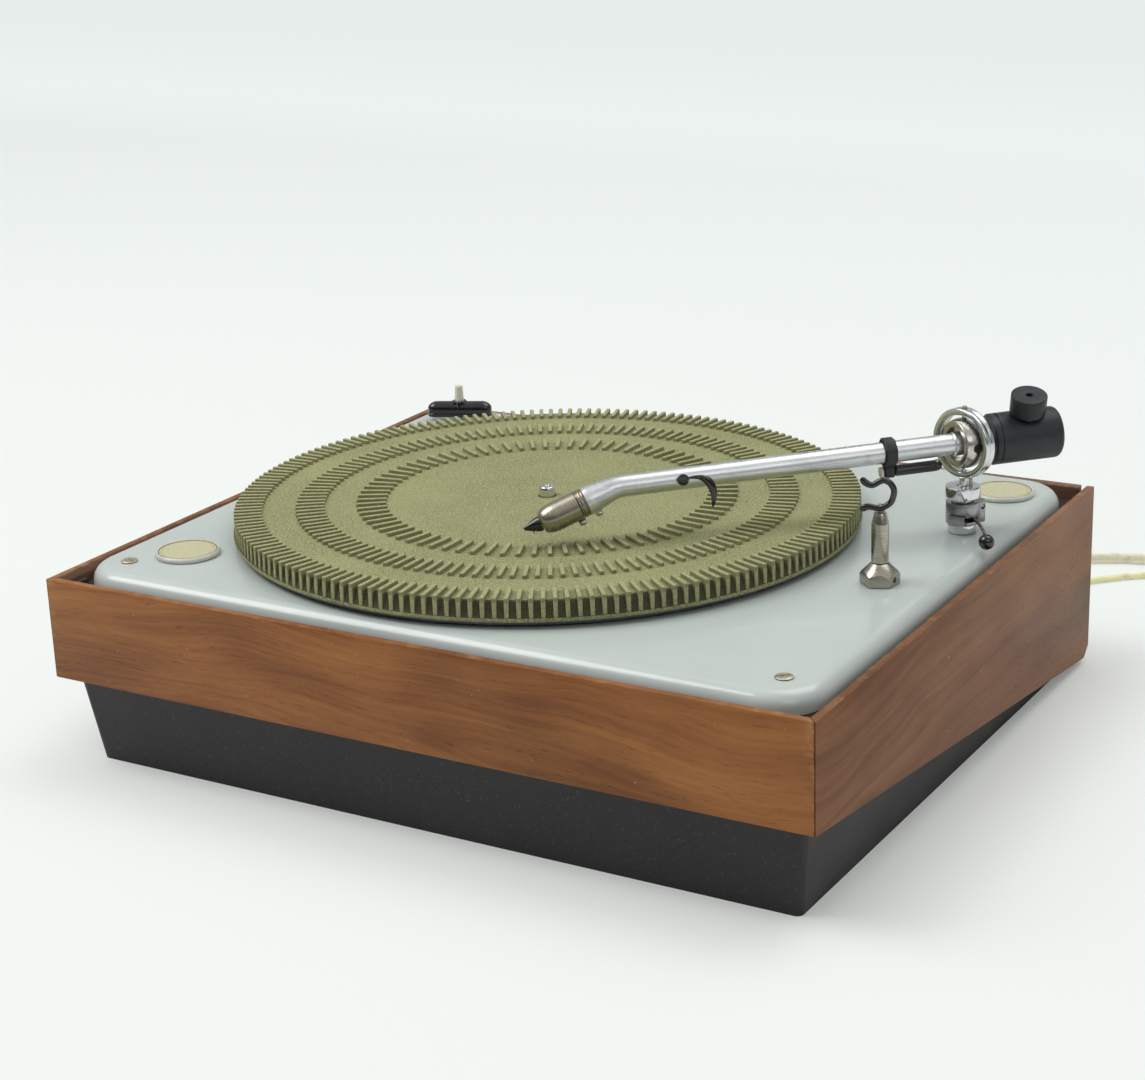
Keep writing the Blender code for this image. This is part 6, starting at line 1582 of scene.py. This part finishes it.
def addFingerLift(values):
    out = arm["radius"] + fitGap
    profile = [(0, out), (values["disc"], out), (values["disc"], out + 0.0012), (0, out + 0.0014)]
    spot = Matrix.Translation((values["place"], 0, values["rise"]))
    turned("fingerDisc", profile, 0.0004, 40, armPlace, (blackGloss, "arm"), matrix=spot @ alongY)
    steps = (
        (0, 0, 0), (1 / 3, 0, 1 / 6), (2 / 3, 0.1, 1 / 3), (14 / 15, 0.4, 2 / 3), (1, 0.7, 5 / 6), (1, 1, 1),
    )
    points = []
    for runShare, fallShare, outShare in steps:
        x = values["place"] - values["disc"] / 2 - values["run"] * runShare
        points.append((
            x, out + 0.0006 + values["out"] * outShare, values["rise"] - values["fall"] * fallShare,
        ))
    path = smoothPath(points, 0.0008)
    rows = []
    for i, point in enumerate(path):
        # a leaf with its broad side outwards: narrow neck, wide middle, pointed end
        ahead = aheadOn(path, i)
        inward = Vector((0, 1, 0)).cross(ahead).normalized()
        share = i / (len(path) - 1)
        wide = values["width"] * (0.25 + 0.75 * min(1, share * 2.2) ** 1.5)
        wide *= sqrt(max(0.02, 1 - max(0, share - 0.55) / 0.46))
        thick = values["sheet"] * (1 - 0.4 * share)
        row = []
        for x, y in roundedBox(wide / 2, thick / 2, min(thick, wide) * 0.4, 3):
            dish = 0.0007 * (1 - (2 * x / wide) ** 2)
            row.append(point + inward * (x + wide / 2) + Vector((0, 1, 0)) * (y + dish))
        rows.append(row)
    blade = newObject("fingerLift", loft(rows), armPlace, 50)
    settle(blade, blackGloss, "arm", ("finger_lift",), "black_gloss")


forceCollar = {
    "place": 0.0364, "width": 0.0056, "radius": 0.0068, "drop": 0.0118, "lug": 0.0048, "disc": 0.0024,
    "bar": 0.0225, "barRadius": 0.0026, "flutes": 8,
}


def addForceCollar(values):
    half, bore = values["width"] / 2, arm["radius"] + fitGap
    place = armPlace @ Matrix.Translation((values["place"], 0, 0))
    nut = prism(circle(values["radius"] * 1.04, 8), -half, half)
    nut.transform(alongX @ Matrix.Rotation(pi / 8, 4, "Z"))
    hole = drill(bore, -0.01, 0.01, 56, alongX)
    ring = carved("forceCollar", nut, [hole], place, bevel=0.0007, segments=3)
    settle(ring, blackSatin, "force_collar", ("force_collar",), "black_gloss")
    lug = values["lug"] / 2
    tab = carved(
        "collarLug", block((-half + 0.0004, -lug, -values["drop"]), (half - 0.0004, lug, -0.0060)), (), place,
        bevel=0.0008, segments=3,
    )
    settle(tab, blackSatin, "force_collar")
    middle = -values["drop"] + values["barRadius"]
    profile = upright(values["disc"], half + 0.0001, half + 0.0015)
    spot, looks = Matrix.Translation((0, 0, middle)), (ivory, "force_collar", ("collar_disc",), "ivory")
    turned("collarDisc", profile, 0.0003, 40, place, looks, matrix=spot @ alongX)
    rows = []
    stops = ((0.0, 0.86), (0.02, 0.97), (0.04, 1.0), (0.86, 1.0), (0.92, 0.94), (0.97, 0.78), (1.0, 0.5))
    for share, size in stops:
        row = []
        for k in range(64):
            angle = 2 * pi * k / 64
            flute = 1 - 0.13 * (0.5 + 0.5 * cos(values["flutes"] * angle)) ** 3 * (0.04 <= share <= 0.93)
            radius = values["barRadius"] * size * flute
            along = -half - values["bar"] * share
            row.append(Vector((along, radius * cos(angle), middle + radius * sin(angle))))
        rows.append(row)
    settle(newObject("collarBar", loft(rows), place, 50), blackGloss, "force_collar")
    screw = slottedHead("barScrew", 0.0013, 0.0009, 0.0004, 0.0004)
    spot = Matrix.Translation((-half - values["bar"] * 0.90, 0, middle + values["barRadius"] + 0.0002))
    screw.data.transform(place @ spot)
    settle(screw, chrome, "force_collar")


weight = {
    "front": 0.0115, "length": 0.0336, "radius": 0.0119, "round": 0.0026, "groove": 0.0036, "knobAt": 0.0296,
    "knobRoll": radians(16), "knob": 0.0083, "boss": 0.0055, "seat": 0.0121, "knobTop": 0.02172,
    "hole": 0.0015, "holeDepth": 0.002,
}


def addCounterweight(values):
    rear, bore = values["front"] + values["length"], arm["shaft"] + fitGap
    radius, corner = values["radius"], values["round"]
    profile = [(0, rear), (radius - corner, rear)]
    for step in range(1, 7):
        angle = pi / 2 * step / 6
        profile.append((radius - corner + corner * sin(angle), rear - corner + corner * cos(angle)))
    line = values["front"] + values["groove"]
    profile += [
        (radius, line + 0.0003), (radius - 0.0004, line + 0.0002), (radius - 0.0004, line - 0.0002),
        (radius, line - 0.0003),
    ]
    profile += [
        (radius, values["front"] + 0.0011), (radius - 0.0010, values["front"] + 0.0001),
        (bore, values["front"] + 0.0001), (bore, arm["shaftEnd"] + fitGap), (0, arm["shaftEnd"] + fitGap),
    ]
    profile = [(r, -a) for r, a in profile]
    looks = (weightPaint, "counterweight", ("counterweight",), "black_paint")
    turned("counterweight", profile, 0, 80, armPlace, looks, matrix=alongX)
    place = armPlace @ Matrix.Translation((-values["knobAt"], 0, 0))
    place = place @ Matrix.Rotation(-values["knobRoll"], 4, "X")
    profile = upright(values["boss"], bore + 0.0004, values["seat"])
    turned("knobBoss", profile, 0, 72, place, (weightPaint, "counterweight"))
    low, top = values["seat"] + fitGap, values["knobTop"]
    profile = [
        (0, low), (values["knob"], low), (values["knob"], top), (values["hole"], top),
        (values["hole"], top - values["holeDepth"]), (0, top - values["holeDepth"]),
    ]
    looks = (weightPaint, "weight_knob", ("weight_knob",), "black_paint")
    turned("weightKnob", profile, 0.0006, 72, place, looks)


def weightFinish():
    material, place, shader = newFinish("counterweight paint", {"IOR": 1.5, "Specular IOR Level": 0.4})
    flecks = between(noise(place, 260.0, 2.0, 0.6), 0.74, 0.77)
    paint = mixed(
        flecks * 0.9, level(place, colour(32, 35, 38), colour(43, 46, 50), 60.0), colour(190, 188, 182),
    )
    rough = 0.34 + noise(place, 90.0, 4.0) * 0.16
    return coated(material, shader, paint, rough, raised(noise(place, 1900.0, 2.0, 0.7), 0.00005, 0.5))


weightPaint = weightFinish()
addTube(arm)
addHead(head)
addFingerLift(fingerLift)
addForceCollar(forceCollar)
addCounterweight(weight)
print("arm assembled")


# Arm rest

rest = {
    "place": (0.1580, -0.0190, 0), "flats": 0.0154, "turn": radians(21), "low": 0.0958, "faceTop": 0.1001,
    "coneTop": 0.1053, "post": 0.00385, "shoulder": 0.1232, "tip": 0.0026, "tipTop": 0.1283, "stud": 0.0030,
    "studLow": 0.084, "wire": 0.0014, "hole": 0.0013, "holeLevel": 0.0983, "pin": 0.0009, "pinTop": 0.1322,
    "hookLow": 0.130, "hookWidth": 0.0145, "hookHeight": 0.0136, "hookHeading": radians(22.8),
}


def addRest(values):
    place = Matrix.Translation(values["place"])
    corner = values["flats"] / 2 / cos(pi / 6)
    turn = values["turn"]
    outline = [(corner * cos(turn + pi * i / 3), corner * sin(turn + pi * i / 3)) for i in range(6)]
    hexagon = prism(outline, values["low"], values["coneTop"])
    under, over = values["low"] - 0.002, values["coneTop"] + 0.001
    profile = [
        (0, under), (corner + 0.0001, under), (corner + 0.0001, values["faceTop"]),
        (values["post"], values["coneTop"]), (0, values["coneTop"]),
    ]
    cone = spun(profile, 96)
    foot = carved("restFootBlank", hexagon, [cone], operation="INTERSECT")
    blank = bmesh.new()
    blank.from_mesh(foot.data)
    bpy.data.objects.remove(foot, do_unlink=True)
    spot = Matrix.Translation((0, 0, values["holeLevel"])) @ Matrix.Rotation(turn - pi / 6, 4, "Z") @ alongX
    hole = drill(values["hole"], 0.0045, 0.012, 24, spot)
    bore = values["stud"] + fitGap
    core = drill(bore, under, over, 40)
    foot = carved("restFoot", blank, [hole, core], place, bevel=0.0002)
    settle(foot, warmNickel, "base", ("rest_base",), "alloy")
    profile = [
        (0, values["studLow"]), (values["stud"], values["studLow"]),
        (values["stud"], values["coneTop"] + fitGap), (values["post"], values["coneTop"] + fitGap),
        (values["post"], values["shoulder"]), (values["tip"], values["tipTop"]), (0, values["tipTop"]),
    ]
    turned("restPost", profile, 0.0003, 64, place, (warmNickel, "base", ("rest_post",), "chrome"), steps=2)
    shares = (
        (-0.58, 1.00), (-0.43, 0.84), (-0.25, 0.77), (-0.05, 0.88), (0.10, 0.93), (0.28, 0.84), (0.40, 0.61),
        (0.37, 0.36), (0.28, 0.17), (0.00, 0.00), (-0.37, 0.05), (-0.60, -0.06),
    )
    points = [(values["hookWidth"] * a, 0, values["hookLow"] + values["hookHeight"] * u) for a, u in shares]
    path = smoothPath(points, 0.0006)
    count = len(path)
    tips = 4

    def section(i):
        # round wire, pressed flatter and wider towards its rounded ends
        near = min(i, count - 1 - i)
        size = values["wire"] * (sqrt(1 - (1 - (near + 0.35) / tips) ** 2) if near < tips else 1.0)
        press = max(0.0, 1 - near / 9)
        return [(x * (1 + 0.25 * press), y * (1 - 0.35 * press)) for x, y in circle(size, 28)]

    shape = swept(path, section, up=(0, 1, 0))
    hook = newObject("restHook", shape, place @ Matrix.Rotation(values["hookHeading"], 4, "Z"), 50)
    settle(hook, blackGloss, "base", ("rest_hook",), "black_gloss")
    profile = upright(values["pin"], values["tipTop"] - 0.001, values["pinTop"])
    turned("hookPin", profile, 0.0003, 20, place, (warmNickel, "base"))


addRest(rest)
print("arm rest fitted")


# CAD nodes whose shape is right keep it and get their own finish

nodeFinishes = {
    "base_carcase": blackPaint,
    "bottom_cover": hardboard,
    "support_frame": darkBoard,
    "packing_block": blackBoard,
    "bearing_housing": brass,
    "idler_lever": steel,
    "idler_lever_post": steel,
    "idler_wheel": polished,
    "idler_tyre": blackRubber,
    "motor_body": steel,
    "motor_pulley": brass,
    "motor_seat": blackRubber,
    "speed_switch": hardboard,
}
for nodeName, finish in nodeFinishes.items():
    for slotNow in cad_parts[nodeName].material_slots:
        slotNow.material = finish
print("CAD nodes finished")
